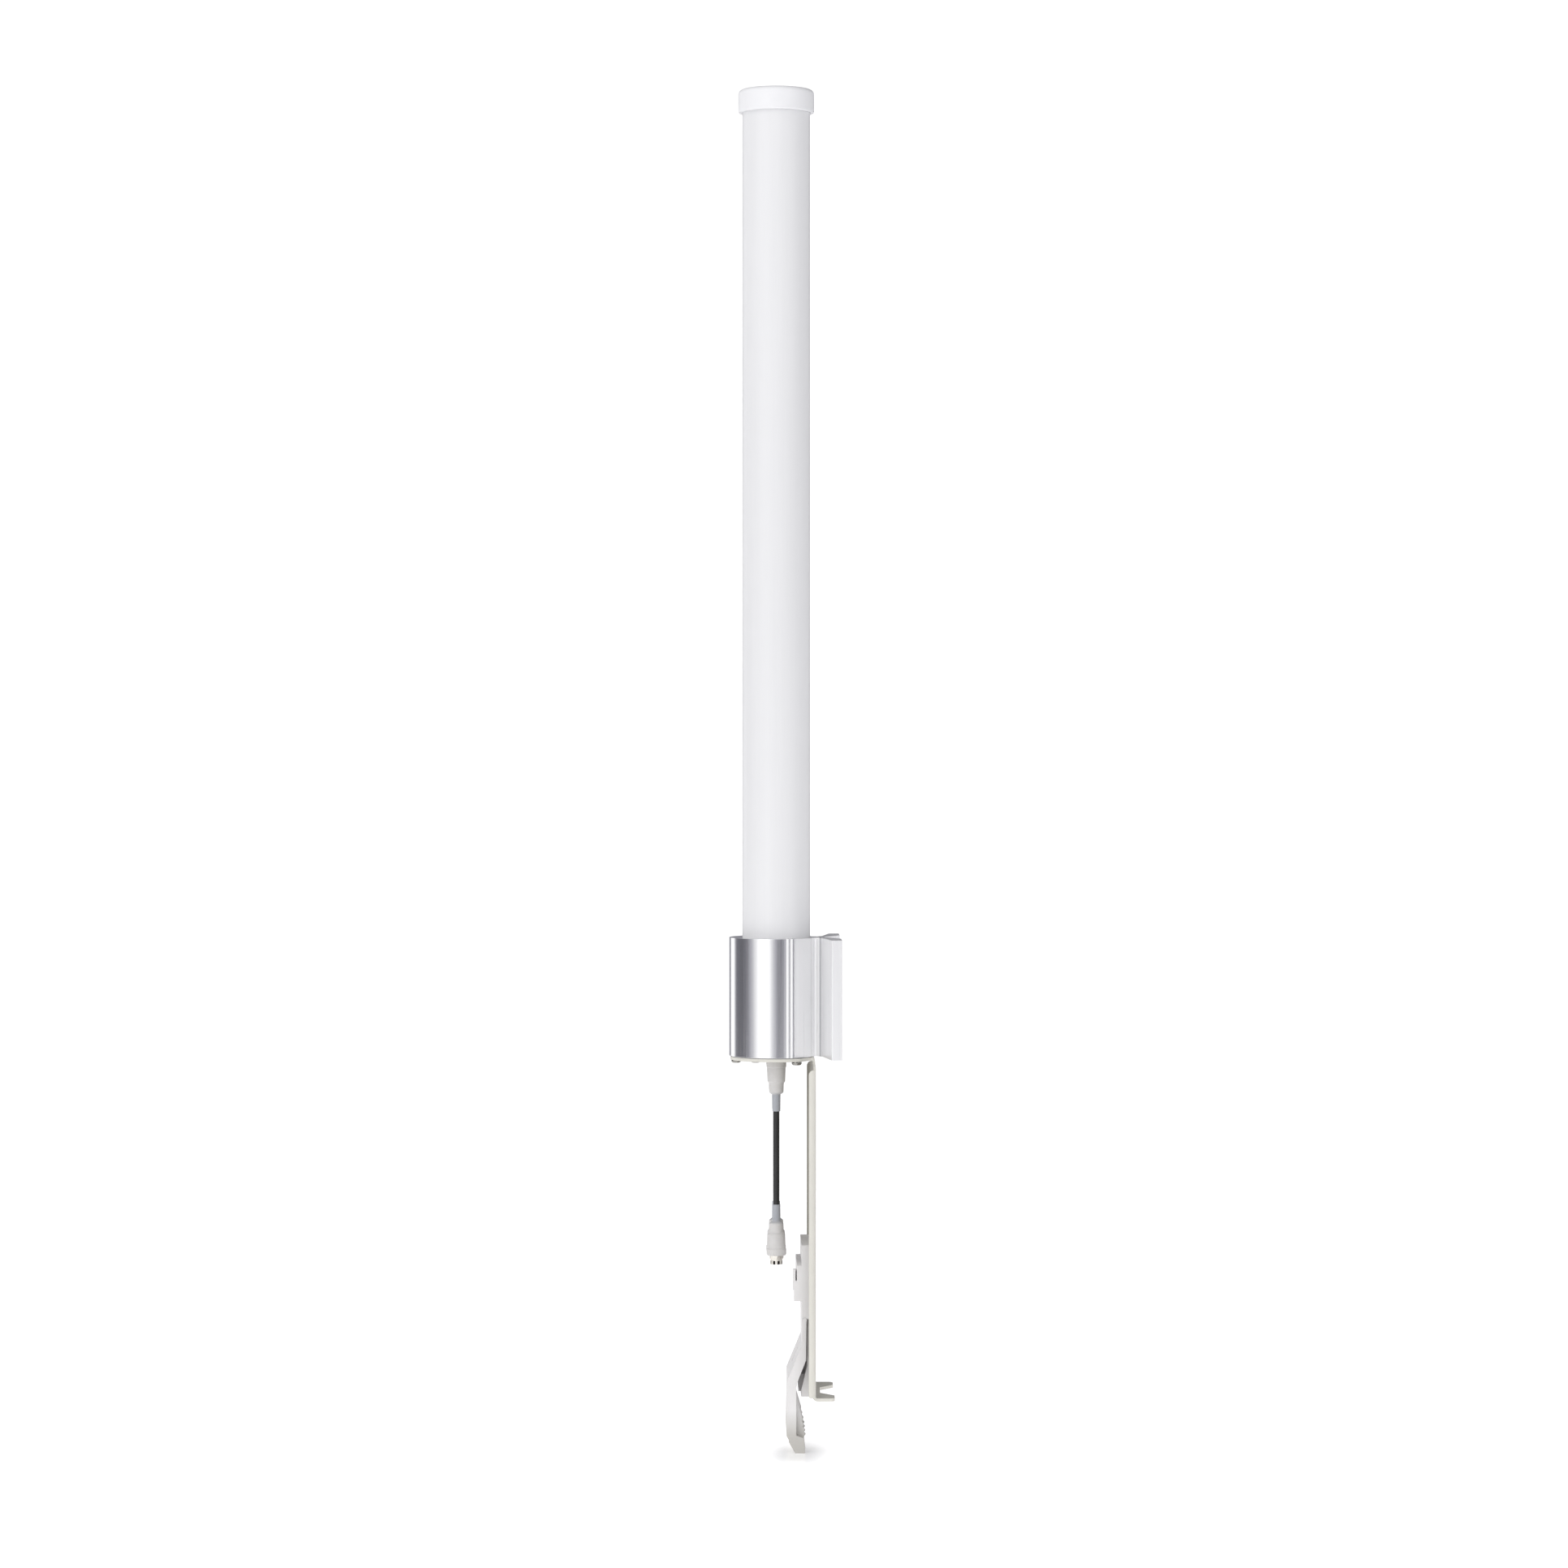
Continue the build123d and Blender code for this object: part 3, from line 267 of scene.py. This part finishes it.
class Surface:
    """A Principled material, with short calls that build its procedural detail."""

    def __init__(self, name, colour, roughness, **sockets):
        self.material = bpy.data.materials.new(name)
        self.material.use_nodes = True
        self.tree = self.material.node_tree
        self.shader = self.tree.nodes["Principled BSDF"]
        self.colour = colour
        self.shader.inputs["Base Color"].default_value = (*colour, 1.0)
        self.shader.inputs["Roughness"].default_value = roughness
        for socket, value in sockets.items():
            name = socket.replace("_", " ").title().replace("Ior", "IOR")
            self.shader.inputs[name].default_value = value
        self.height = None

    def soften(self, radius):
        """Rounds the edges that light catches, by that radius in metres."""
        bevel = self.tree.nodes.new("ShaderNodeBevel")
        bevel.samples = BEVEL_SAMPLES
        bevel.inputs["Radius"].default_value = radius
        self.height = bevel.outputs["Normal"]
        return self

    def position(self, axis):
        """Distance along an axis of the CAD frame, in metres."""
        coordinates = self.tree.nodes.new("ShaderNodeTexCoord")
        split = self.tree.nodes.new("ShaderNodeSeparateXYZ")
        self.tree.links.new(coordinates.outputs["Object"], split.inputs[0])
        return split.outputs[axis]

    def band(self, axis, middle_at, half):
        """1 up to half a width from a place along an axis, and 0 a little beyond that."""
        offset = self.combine("SUBTRACT", self.position(axis), middle_at)
        away = self.combine("ABSOLUTE", offset)
        return self.spread(away, 1.0, 0.0, half, half * (1 + BAND_FADE))

    def combine(self, operation, *values):
        return math_node(self.tree, operation, *values)

    def place(self, stretch=(1, 1, 1)):
        """Position in the CAD frame, with each axis multiplied by its stretch."""
        coordinates = self.tree.nodes.new("ShaderNodeTexCoord")
        mapping = self.tree.nodes.new("ShaderNodeMapping")
        mapping.inputs["Scale"].default_value = stretch
        self.tree.links.new(coordinates.outputs["Object"], mapping.inputs["Vector"])
        return mapping.outputs["Vector"]

    def noise(self, scale, detail=3.0, stretch=(1, 1, 1), distortion=0.0):
        """Noise whose grains are about 1 / scale metres."""
        node = self.tree.nodes.new("ShaderNodeTexNoise")
        self.tree.links.new(self.place(stretch), node.inputs["Vector"])
        node.inputs["Scale"].default_value = scale
        node.inputs["Detail"].default_value = detail
        node.inputs["Distortion"].default_value = distortion
        return node.outputs["Fac"]

    def cells(self, scale):
        """Distance from the middle of the nearest cell, of cells about 1 / scale metres apart."""
        node = self.tree.nodes.new("ShaderNodeTexVoronoi")
        self.tree.links.new(self.place(), node.inputs["Vector"])
        node.inputs["Scale"].default_value = scale
        return node.outputs["Distance"]

    def waves(self, scale, axis, distortion):
        """Even bands across an axis, with their edges made uneven by the distortion."""
        node = self.tree.nodes.new("ShaderNodeTexWave")
        node.bands_direction = axis
        self.tree.links.new(self.place(), node.inputs["Vector"])
        node.inputs["Scale"].default_value = scale
        node.inputs["Distortion"].default_value = distortion
        return node.outputs["Fac"]

    def spread(self, value, low, high, start=NOISE_LOW, end=NOISE_HIGH):
        """Maps a pattern's values between start and end to low and high."""
        return map_node(self.tree, value, start, end, low, high, "LINEAR")

    def mottle(self, pattern, other, start=NOISE_LOW, end=NOISE_HIGH):
        """Mixes the base colour towards another colour where the pattern is high."""
        mix = self.tree.nodes.new("ShaderNodeMix")
        mix.data_type = "RGBA"
        self.tree.links.new(self.spread(pattern, 0.0, 1.0, start, end), mix.inputs["Factor"])
        old = self.shader.inputs["Base Color"]
        if old.is_linked:
            self.tree.links.new(old.links[0].from_socket, mix.inputs["A"])
        else:
            mix.inputs["A"].default_value = (*self.colour, 1.0)
        mix.inputs["B"].default_value = (*other, 1.0)
        self.tree.links.new(mix.outputs["Result"], old)
        return self

    def polish(self, pattern, low, high, start=NOISE_LOW, end=NOISE_HIGH):
        """Varies the roughness between low and high over the pattern."""
        self.tree.links.new(self.spread(pattern, low, high, start, end),
                            self.shader.inputs["Roughness"])
        return self

    def relief(self, pattern, depth):
        """Adds a bump of that depth in metres, on top of any before it."""
        bump = self.tree.nodes.new("ShaderNodeBump")
        bump.inputs["Distance"].default_value = depth
        self.tree.links.new(pattern, bump.inputs["Height"])
        if self.height is not None:
            self.tree.links.new(self.height, bump.inputs["Normal"])
        self.height = bump.outputs["Normal"]
        self.tree.links.new(self.height, self.shader.inputs["Normal"])
        return self


def shade(colour, factor):
    """The colour, darkened to that share of its brightness."""
    return tuple(part * factor for part in colour)


def radome_white():
    """Pultruded fibreglass with a white gel coat: faint long strands under a satin skin."""
    white = (0.79, 0.79, 0.805)
    skin = Surface("radome_white", white, 0.38, specular_ior_level=0.35)
    skin.mottle(skin.noise(160, 4, (1, 1, 0.04)), shade(white, 0.975))
    skin.polish(skin.noise(60, 3), 0.33, 0.44)
    skin.relief(skin.noise(900, 3, (1, 1, 0.08)), 0.00003)
    return skin.relief(skin.noise(2600, 2), 0.00001)


def cap_white():
    white = (0.85, 0.85, 0.87)
    skin = Surface("cap_white", white, 0.42, specular_ior_level=0.4).soften(0.0005)
    skin.mottle(skin.noise(90, 3), shade(white, 0.975))
    skin.polish(skin.noise(300, 3), 0.37, 0.48)
    return skin.relief(skin.noise(3000, 2), 0.000012)


# the extrusion is polished round its barrel and satin from here towards the mast
SATIN_FROM_X = (-27.2 * MM, -26.6 * MM)
SATIN_SHARE = 0.7
# painted highlights on lines beside the grooves and the ear's bead; painted shade at the ear's root
HIGHLIGHT_LINES_X = (-31.3 * MM, -29.0 * MM, -13.3 * MM)
HIGHLIGHT_LINE_HALF = 0.55 * MM
ROOT_SHADE_X = -11.9 * MM
ROOT_SHADE_HALF = 0.45 * MM


def extruded_aluminium():
    """Clear-anodised extrusion with fine die lines along its length, painted highlights and shade.
    """
    metal = (0.86, 0.86, 0.875)
    skin = Surface("extruded_aluminium", metal, 0.17, metallic=1.0).soften(0.00025)
    lines = skin.noise(1500, 4, (1, 1, 0.004))
    satin = skin.spread(skin.position("X"), 0.0, 1.0, *SATIN_FROM_X)
    skin.mottle(skin.noise(500, 4, (1, 1, 0.01)), shade(metal, 0.95))
    skin.mottle(satin, (0.9, 0.9, 0.91), 0, 1)
    # painted highlights: brighter, less metallic lines where light catches the grooves' and bead's
    # edges
    highlight_lines = skin.band("X", HIGHLIGHT_LINES_X[0], HIGHLIGHT_LINE_HALF)
    for highlight_x in HIGHLIGHT_LINES_X[1:]:
        highlight_lines = skin.combine("MAXIMUM", highlight_lines, skin.band("X", highlight_x, HIGHLIGHT_LINE_HALF))
    skin.mottle(highlight_lines, (0.98, 0.98, 0.98), 0, 1)
    # painted shade: the ear's root is darkened
    skin.mottle(skin.band("X", ROOT_SHADE_X, ROOT_SHADE_HALF), (0.6, 0.6, 0.62), 0, 1)
    # less metallic where the extrusion is satin and where highlight lines are painted
    satin_and_highlight = skin.combine("MAXIMUM", skin.combine("MULTIPLY", satin, SATIN_SHARE), highlight_lines)
    skin.tree.links.new(skin.spread(satin_and_highlight, 1.0, 0.25, 0, 1), skin.shader.inputs["Metallic"])
    satin_polish = skin.spread(satin, 0.0, 0.14, 0, 1)
    polish = skin.combine("ADD", skin.spread(lines, 0.13, 0.23), satin_polish)
    skin.tree.links.new(polish, skin.shader.inputs["Roughness"])
    return skin.relief(lines, 0.000006).relief(skin.noise(4000, 2), 0.000002)


# painted shade within the bracket's channel: its ends in X, from its middle in Y, and in Z, as
# short blends
CHANNEL_SHADE_X = (-16.5 * MM, -16.2 * MM)
CHANNEL_SHADE_HALF = (36.22 * MM, 36.3 * MM)
CHANNEL_SHADE_TOP = (-37.2 * MM, -36.9 * MM)


def powder_coat():
    """Off-white powder coat with a fine orange-peel skin, and painted shade darker within the
    channel.
    """
    cream = (0.69, 0.675, 0.62)
    skin = Surface("powder_coat", cream, 0.42, specular_ior_level=0.4).soften(0.0002)
    in_depth = skin.spread(skin.position("X"), 1.0, 0.0, *CHANNEL_SHADE_X)
    off_centre = skin.combine("ABSOLUTE", skin.position("Y"))
    in_width = skin.spread(off_centre, 1.0, 0.0, *CHANNEL_SHADE_HALF)
    under_top = skin.spread(skin.position("Z"), 1.0, 0.0, *CHANNEL_SHADE_TOP)
    # painted shade: darker colour on the channel's inner faces
    channel_shade = skin.combine("MULTIPLY", skin.combine("MULTIPLY", in_depth, in_width), under_top)
    skin.mottle(skin.noise(70, 3), shade(cream, 0.96)).mottle(channel_shade, (0.40, 0.385, 0.34), 0, 1)
    skin.polish(skin.noise(500, 2), 0.36, 0.5)
    return skin.relief(skin.noise(650, 2), 0.00006).relief(skin.noise(2500, 2), 0.00001)


# painted shade: the arm is darker and yellower towards the bottom of its foot
FOOT_SHADE = (-252 * MM, -238 * MM)


def cradle_white():
    """Moulded plastic with a spark-eroded texture, and painted shade on the arm's foot."""
    white = (0.765, 0.752, 0.752)
    skin = Surface("cradle_white", white, 0.5, specular_ior_level=0.4).soften(0.0003)
    skin.mottle(skin.noise(80, 3), shade(white, 0.97))
    # painted shade, darker towards the bottom of the foot
    skin.mottle(skin.spread(skin.position("Z"), 1.0, 0.0, *FOOT_SHADE), (0.53, 0.515, 0.485), 0, 1)
    skin.polish(skin.noise(700, 3), 0.44, 0.58)
    return skin.relief(skin.noise(2400, 3), 0.00002)


def plug_plastic():
    white = (0.7, 0.7, 0.7)
    skin = Surface("plug_plastic", white, 0.45)
    skin.mottle(skin.noise(150, 3), shade(white, 0.94))
    return skin.relief(skin.noise(2500, 2), 0.00002)


def rubber():
    black = (0.018, 0.018, 0.02)
    skin = Surface("black_rubber", black, 0.6)
    skin.mottle(skin.noise(400, 3), (0.035, 0.035, 0.036))
    skin.polish(skin.noise(900, 2), 0.5, 0.7)
    return skin.relief(skin.noise(3000, 2), 0.00002)


def gasket_rubber():
    grey = (0.2, 0.2, 0.2)
    skin = Surface("gasket_rubber", grey, 0.65)
    skin.mottle(skin.noise(500, 3), (0.28, 0.28, 0.27))
    return skin.relief(skin.noise(2500, 2), 0.00003)


def closed_cell_foam():
    grey = (0.42, 0.42, 0.43)
    skin = Surface("closed_cell_foam", grey, 0.85, specular_ior_level=0.2)
    cells = skin.cells(1400)
    skin.mottle(cells, (0.62, 0.62, 0.62), 0.2, 0.9)
    return skin.relief(cells, 0.00018)


# distance from the mouth where a boot narrows to the sleeve that lies on the cable
SLEEVE_FROM = (18.2 * MM, 20.4 * MM)


def silicone():
    """Milky silicone moulding, greyer where it lies on the dark cable."""
    milk = (0.65, 0.635, 0.625)
    skin = Surface("silicone", milk, 0.4, ior=1.41, alpha=0.9, specular_ior_level=0.4)
    skin.mottle(skin.noise(250, 3), (0.68, 0.665, 0.66))
    reach = skin.combine("ABSOLUTE", skin.position("Z"))
    skin.mottle(skin.spread(reach, 0.0, 1.0, *SLEEVE_FROM), (0.42, 0.435, 0.47), 0, 1)
    skin.polish(skin.noise(600, 3), 0.34, 0.48)
    return skin.relief(skin.noise(2200, 2), 0.00002)


def coax_jacket():
    black = (0.008, 0.008, 0.009)
    skin = Surface("coax_jacket", black, 0.38)
    skin.mottle(skin.noise(700, 3, (1, 1, 0.2)), (0.016, 0.016, 0.017))
    skin.polish(skin.noise(900, 3, (1, 1, 0.3)), 0.3, 0.5)
    return skin.relief(skin.noise(1600, 3, (1, 1, 0.15)), 0.00002)


NICKEL = (0.74, 0.71, 0.66)


def plated(name, colour, low, high):
    """Turned metal under plating: fine tool rings and hairline scratches."""
    skin = Surface(name, colour, (low + high) / 2, metallic=1.0).soften(0.00012)
    skin.mottle(skin.noise(800, 4), shade(colour, 0.86))
    skin.polish(skin.noise(1500, 4, (0.3, 0.3, 1)), low, high)
    return skin.relief(skin.noise(5000, 3, (0.1, 0.1, 1)), 0.000004)


# radius within which the coupling nuts' slots and threads are painted black as shade
SLOT_SHADE_FROM_R = (3.36 * MM, 3.44 * MM)


def nut_nickel():
    """Nickel like the other plating, painted black as shade in the slots round the mouth and
    thread.
    """
    skin = plated("nut_nickel", NICKEL, 0.08, 0.2)
    squares = [skin.combine("POWER", skin.combine("ABSOLUTE", skin.position(axis)), 2.0)
               for axis in "XY"]
    radius = skin.combine("SQRT", skin.combine("ADD", *squares))
    # painted shade: black within the slots' radius
    return skin.mottle(skin.spread(radius, 1.0, 0.0, *SLOT_SHADE_FROM_R), (0.02, 0.019, 0.018), 0, 1)


def board_laminate():
    """Woven glass laminate under a translucent green mask."""
    green = (0.05, 0.17, 0.09)
    skin = Surface("board_laminate", green, 0.4)
    skin.mottle(skin.waves(420, "Z", 0.3), (0.08, 0.23, 0.12))
    skin.mottle(skin.waves(420, "Y", 0.3), shade(green, 0.8))
    skin.relief(skin.waves(420, "Z", 0.3), 0.00003)
    return skin.relief(skin.waves(420, "Y", 0.3), 0.00003)


def etched_copper():
    copper = (0.72, 0.36, 0.22)
    skin = Surface("etched_copper", copper, 0.3, metallic=1.0)
    skin.mottle(skin.noise(180, 4, distortion=0.6), (0.46, 0.22, 0.14))
    skin.polish(skin.noise(500, 3), 0.24, 0.45)
    return skin.relief(skin.noise(2000, 2), 0.00001)


def nylon():
    natural = (0.74, 0.72, 0.64)
    skin = Surface("natural_nylon", natural, 0.45, subsurface_weight=0.2, subsurface_scale=0.001)
    skin.mottle(skin.noise(400, 3), shade(natural, 0.92))
    return skin.relief(skin.noise(2500, 2), 0.00001)


def ptfe():
    white = (0.82, 0.82, 0.80)
    skin = Surface("ptfe", white, 0.35, subsurface_weight=0.3, subsurface_scale=0.001)
    skin.mottle(skin.noise(900, 3), shade(white, 0.95))
    return skin.relief(skin.noise(3500, 2), 0.000008)


MATERIALS = {
    "radome": radome_white(),
    "cap": cap_white(),
    "seal_rubber": rubber(),
    "foam": closed_cell_foam(),
    "extrusion": extruded_aluminium(),
    "gasket": gasket_rubber(),
    "powder_coat": powder_coat(),
    "screw_steel": plated("screw_steel", (0.33, 0.32, 0.30), 0.12, 0.22),
    "plug_plastic": plug_plastic(),
    "board": board_laminate(),
    "copper": etched_copper(),
    "spine": plated("spine_aluminium", (0.8, 0.81, 0.82), 0.3, 0.45),
    "nylon": nylon(),
    "coax_jacket": coax_jacket(),
    "gold": plated("gold_plate", (0.9, 0.66, 0.3), 0.14, 0.26),
    "dielectric": ptfe(),
    "nickel": plated("nickel_plate", NICKEL, 0.08, 0.2),
    "boot_silicone": silicone(),
    "cradle_plastic": cradle_white(),
}
NUT_NICKEL = nut_nickel()
NODE_SLOT = {part["node"]: part["material_slot"] for part in frame["record"]["subparts"]}


def dress_cad_nodes():
    for name, node in frame["nodes"].items():
        node.data.materials.clear()
        node.data.materials.append(MATERIALS[NODE_SLOT[name]].material)


dress_cad_nodes()


# ---------------------------------------------------------------------------------- turned pieces
CORNER_STEPS = 4
SHARP_ANGLE = radians(35)


def rounded(points):
    """Section through points of (radius, height), or of (radius, height, rounding radius)."""
    section = []
    for index, point in enumerate(points):
        corner = Vector(point[:2])
        if len(point) == 2:
            section.append(corner)
            continue
        before = (Vector(points[index - 1][:2]) - corner).normalized()
        after = (Vector(points[(index + 1) % len(points)][:2]) - corner).normalized()
        half = before.angle(after) / 2
        tangent = point[2] / tan(half)
        centre = corner + (before + after).normalized() * (point[2] / sin(half))
        start = (corner + before * tangent - centre).normalized()
        end = (corner + after * tangent - centre).normalized()
        for step in range(CORNER_STEPS + 1):
            section.append(centre + start.slerp(end, step / CORNER_STEPS) * point[2])
    return section


def with_support(section, gap):
    """Adds points near both ends of each long run, so that smooth shading keeps its shape."""
    supported = []
    for start, end in zip(section, section[1:] + section[:1]):
        supported.append(start)
        run = end - start
        if run.length > 3 * gap:
            near = run.normalized() * gap
            supported += [start + near, end - near]
    return supported


def revolve(name, section, segments, place, up=1, reach=None):
    """Closed solid turned about Z from a closed (radius, height) section in millimetres.

    place is where radius and height are 0, up is -1 for a piece that points down, and reach, if
    given, is a function of (radius, height, angle) that returns the radius there."""
    builder = bmesh.new()
    rings = []
    for radius, height in section:
        ring = []
        for index in range(segments):
            angle = 2 * pi * index / segments
            turned = reach(radius, height, angle) if reach else radius
            point = (turned * cos(angle) * MM, turned * sin(angle) * MM, up * height * MM)
            ring.append(builder.verts.new(point))
        rings.append(ring)
    for lower, upper in zip(rings, rings[1:] + rings[:1]):
        for index in range(segments):
            after = (index + 1) % segments
            builder.faces.new((lower[index], lower[after], upper[after], upper[index]))
    bmesh.ops.recalc_face_normals(builder, faces=builder.faces)
    mesh = bpy.data.meshes.new(name)
    builder.to_mesh(mesh)
    builder.free()
    mesh.polygons.foreach_set("use_smooth", [True] * len(mesh.polygons))
    mesh.set_sharp_from_angle(angle=SHARP_ANGLE)
    piece = bpy.data.objects.new(name, mesh)
    piece.location = place
    scene.collection.objects.link(piece)
    return piece


def finish_piece(piece, body, slot, *nodes, material=None):
    """Gives a piece its material, and lets it ride on its body in place of CAD nodes."""
    piece.data.materials.append((material or MATERIALS[slot]).material)
    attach(piece, body)
    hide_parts(*nodes)
    return piece


# pigtails: boots and nuts along their own axis from the wide mouth, in millimetres
BOOT_LENGTH = 29.6
BOOT_OUTSIDE = ((4.85, 0, 0.3), (5.75, 0, 0.9), (5.75, 3.6, 0.3), (5.4, 4.1, 0.3),
                (5.1, 12.2, 0.4), (4.3, 13.4, 0.4), (4.15, 18.7, 1.2), (2.4, 19.9, 0.3),
                (2.3, BOOT_LENGTH, 0.2))
BOOT_BORE = ((1.85, BOOT_LENGTH, 0.1), (1.85, 18.4), (2.8, 18.4, 0.3), (2.8, 13.2, 0.3),
             (3.5, 12.6, 0.3), (3.5, 8.6), (4.75, 8.2, 0.4))
BOOT_SEGMENTS = 96
BOOT_SUPPORT_GAP = 0.3
NUT_SEGMENTS = 144
NUT_LENGTH = 8.0
NUT_FLATS = 8.0
NUT_CORNER_R = 4.5
NUT_CHAMFER = 0.5
# the round part at the mouth has flutes, with a wall left between their floors and the thread
NUT_ROUND_L = 3.2
NUT_ROUND_R = 3.6
NUT_EDGE = 0.1
NUT_LEAD_IN = 0.4
FLUTES = 8
FLUTE_LENGTH = 2.1
FLUTE_DEPTH = 0.35
FLUTE_WALL = 0.08
FLUTE_END = 0.06
FLUTE_HALF_ANGLE = radians(11)
# radius of the hole behind the thread, and the height at which it starts
NUT_SHOULDER = (2.45, 5.2)
THREAD_MINOR_R = 2.83
THREAD_MAJOR_R = 3.15
THREAD_PITCH = 0.7056
THREAD_LENGTH = 4.2
THREAD_STEPS = 8
NUT_TURN = radians(24.6)


def nut_section():
    """Outside of the nut, then its bore with one ring for each step of the thread."""
    shoulder_r, shoulder = NUT_SHOULDER
    outside = rounded((
        (THREAD_MAJOR_R, 0),
        (NUT_ROUND_R - NUT_EDGE, 0, NUT_EDGE),
        (NUT_ROUND_R, NUT_LEAD_IN, 2 * NUT_EDGE),
        (NUT_ROUND_R, FLUTE_LENGTH - FLUTE_END),
        (NUT_ROUND_R, FLUTE_LENGTH + FLUTE_END),
        (NUT_ROUND_R, NUT_ROUND_L - NUT_EDGE, NUT_EDGE),
        (NUT_CORNER_R - NUT_CHAMFER, NUT_ROUND_L),
        (NUT_CORNER_R, NUT_ROUND_L + NUT_CHAMFER),
        (NUT_CORNER_R, NUT_LENGTH - NUT_CHAMFER),
        (NUT_CORNER_R - NUT_CHAMFER, NUT_LENGTH),
        (shoulder_r, NUT_LENGTH, 2 * NUT_EDGE),
        (shoulder_r, shoulder),
        (THREAD_MAJOR_R, shoulder),
    ))
    rings = int(THREAD_LENGTH / THREAD_PITCH * THREAD_STEPS)
    bore = [Vector((0, THREAD_LENGTH * (1 - ring / rings))) for ring in range(rings)]
    return outside + bore


def nut_reach(radius, height, angle):
    """Radius cut to the hexagon outside, and the thread's helix where the section's radius is 0."""
    if radius == 0:
        turn = (height / THREAD_PITCH - angle / (2 * pi)) % 1
        return THREAD_MINOR_R + (THREAD_MAJOR_R - THREAD_MINOR_R) * (1 - abs(2 * turn - 1))
    pitch = 2 * pi / FLUTES
    in_flute = abs(angle % pitch - pitch / 2) < FLUTE_HALF_ANGLE
    if in_flute and height < FLUTE_LENGTH and radius > THREAD_MAJOR_R:
        return max(THREAD_MAJOR_R + FLUTE_WALL, radius - FLUTE_DEPTH)
    facet = (angle + NUT_TURN) % (pi / 3) - pi / 6
    return min(radius, NUT_FLATS / 2 / cos(facet))


def mouth_of(node, up):
    """Centre of a turned piece's mouth: the bottom of its box when it points up, else the top."""
    low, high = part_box(node)
    return Vector((TUBE_AXIS.x, middle(node).y, low.z if up > 0 else high.z))


def make_nut(node, body, up):
    mouth = mouth_of(node, up)
    nut = revolve(node + "_threaded", nut_section(), NUT_SEGMENTS, mouth, up, nut_reach)
    return finish_piece(nut, body, "nickel", node, material=NUT_NICKEL)


def make_boot(node):
    up = 1 if node.startswith("lower") else -1
    section = with_support(rounded(BOOT_OUTSIDE + BOOT_BORE), BOOT_SUPPORT_GAP)
    boot = revolve(node + "_moulding", section, BOOT_SEGMENTS, mouth_of(node, up), up)
    return finish_piece(boot, node, "boot_silicone", node)


CABLE_DIAMETER = 3.55 * MM
CABLE_ROUND_STEPS = 8
CABLE_LENGTH_STEPS = 12
# the cable hangs straight, so its points only share out its length
CABLE_STEPS = (0, 0.2, 0.5, 0.8, 1)


def make_cable(side):
    """Straight coax from the upper ferrule to the lower one, as one smooth curve."""
    node = f"pigtail_cable_{side}"
    low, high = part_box(node)
    centre = middle(node)
    curve = bpy.data.curves.new(node + "_coax", "CURVE")
    curve.dimensions = "3D"
    curve.bevel_depth = CABLE_DIAMETER / 2
    curve.bevel_resolution = CABLE_ROUND_STEPS
    curve.resolution_u = CABLE_LENGTH_STEPS
    curve.use_fill_caps = True
    spline = curve.splines.new("NURBS")
    spline.points.add(len(CABLE_STEPS) - 1)
    for point, step in zip(spline.points, CABLE_STEPS):
        point.co = (centre.x, centre.y, high.z + (low.z - high.z) * step, 1)
    spline.order_u = 3
    spline.use_endpoint_u = True
    cable = bpy.data.objects.new(node + "_coax", curve)
    scene.collection.objects.link(cable)
    finish_piece(cable, "antenna", "coax_jacket", node)
    return cable, Vector((centre.x, centre.y, high.z)), high.z - low.z


for port in PORTS:
    upper_nut = make_nut(f"upper_plug_nut_{port}", "antenna", -1)
    nut = make_nut(f"coupling_nut_{port}", f"coupling_nut_{port}", 1)
    boots = [make_boot(f"{end}_boot_{port}") for end in PIGTAIL_ENDS]
    cable, cable_exit, cable_length = make_cable(port)
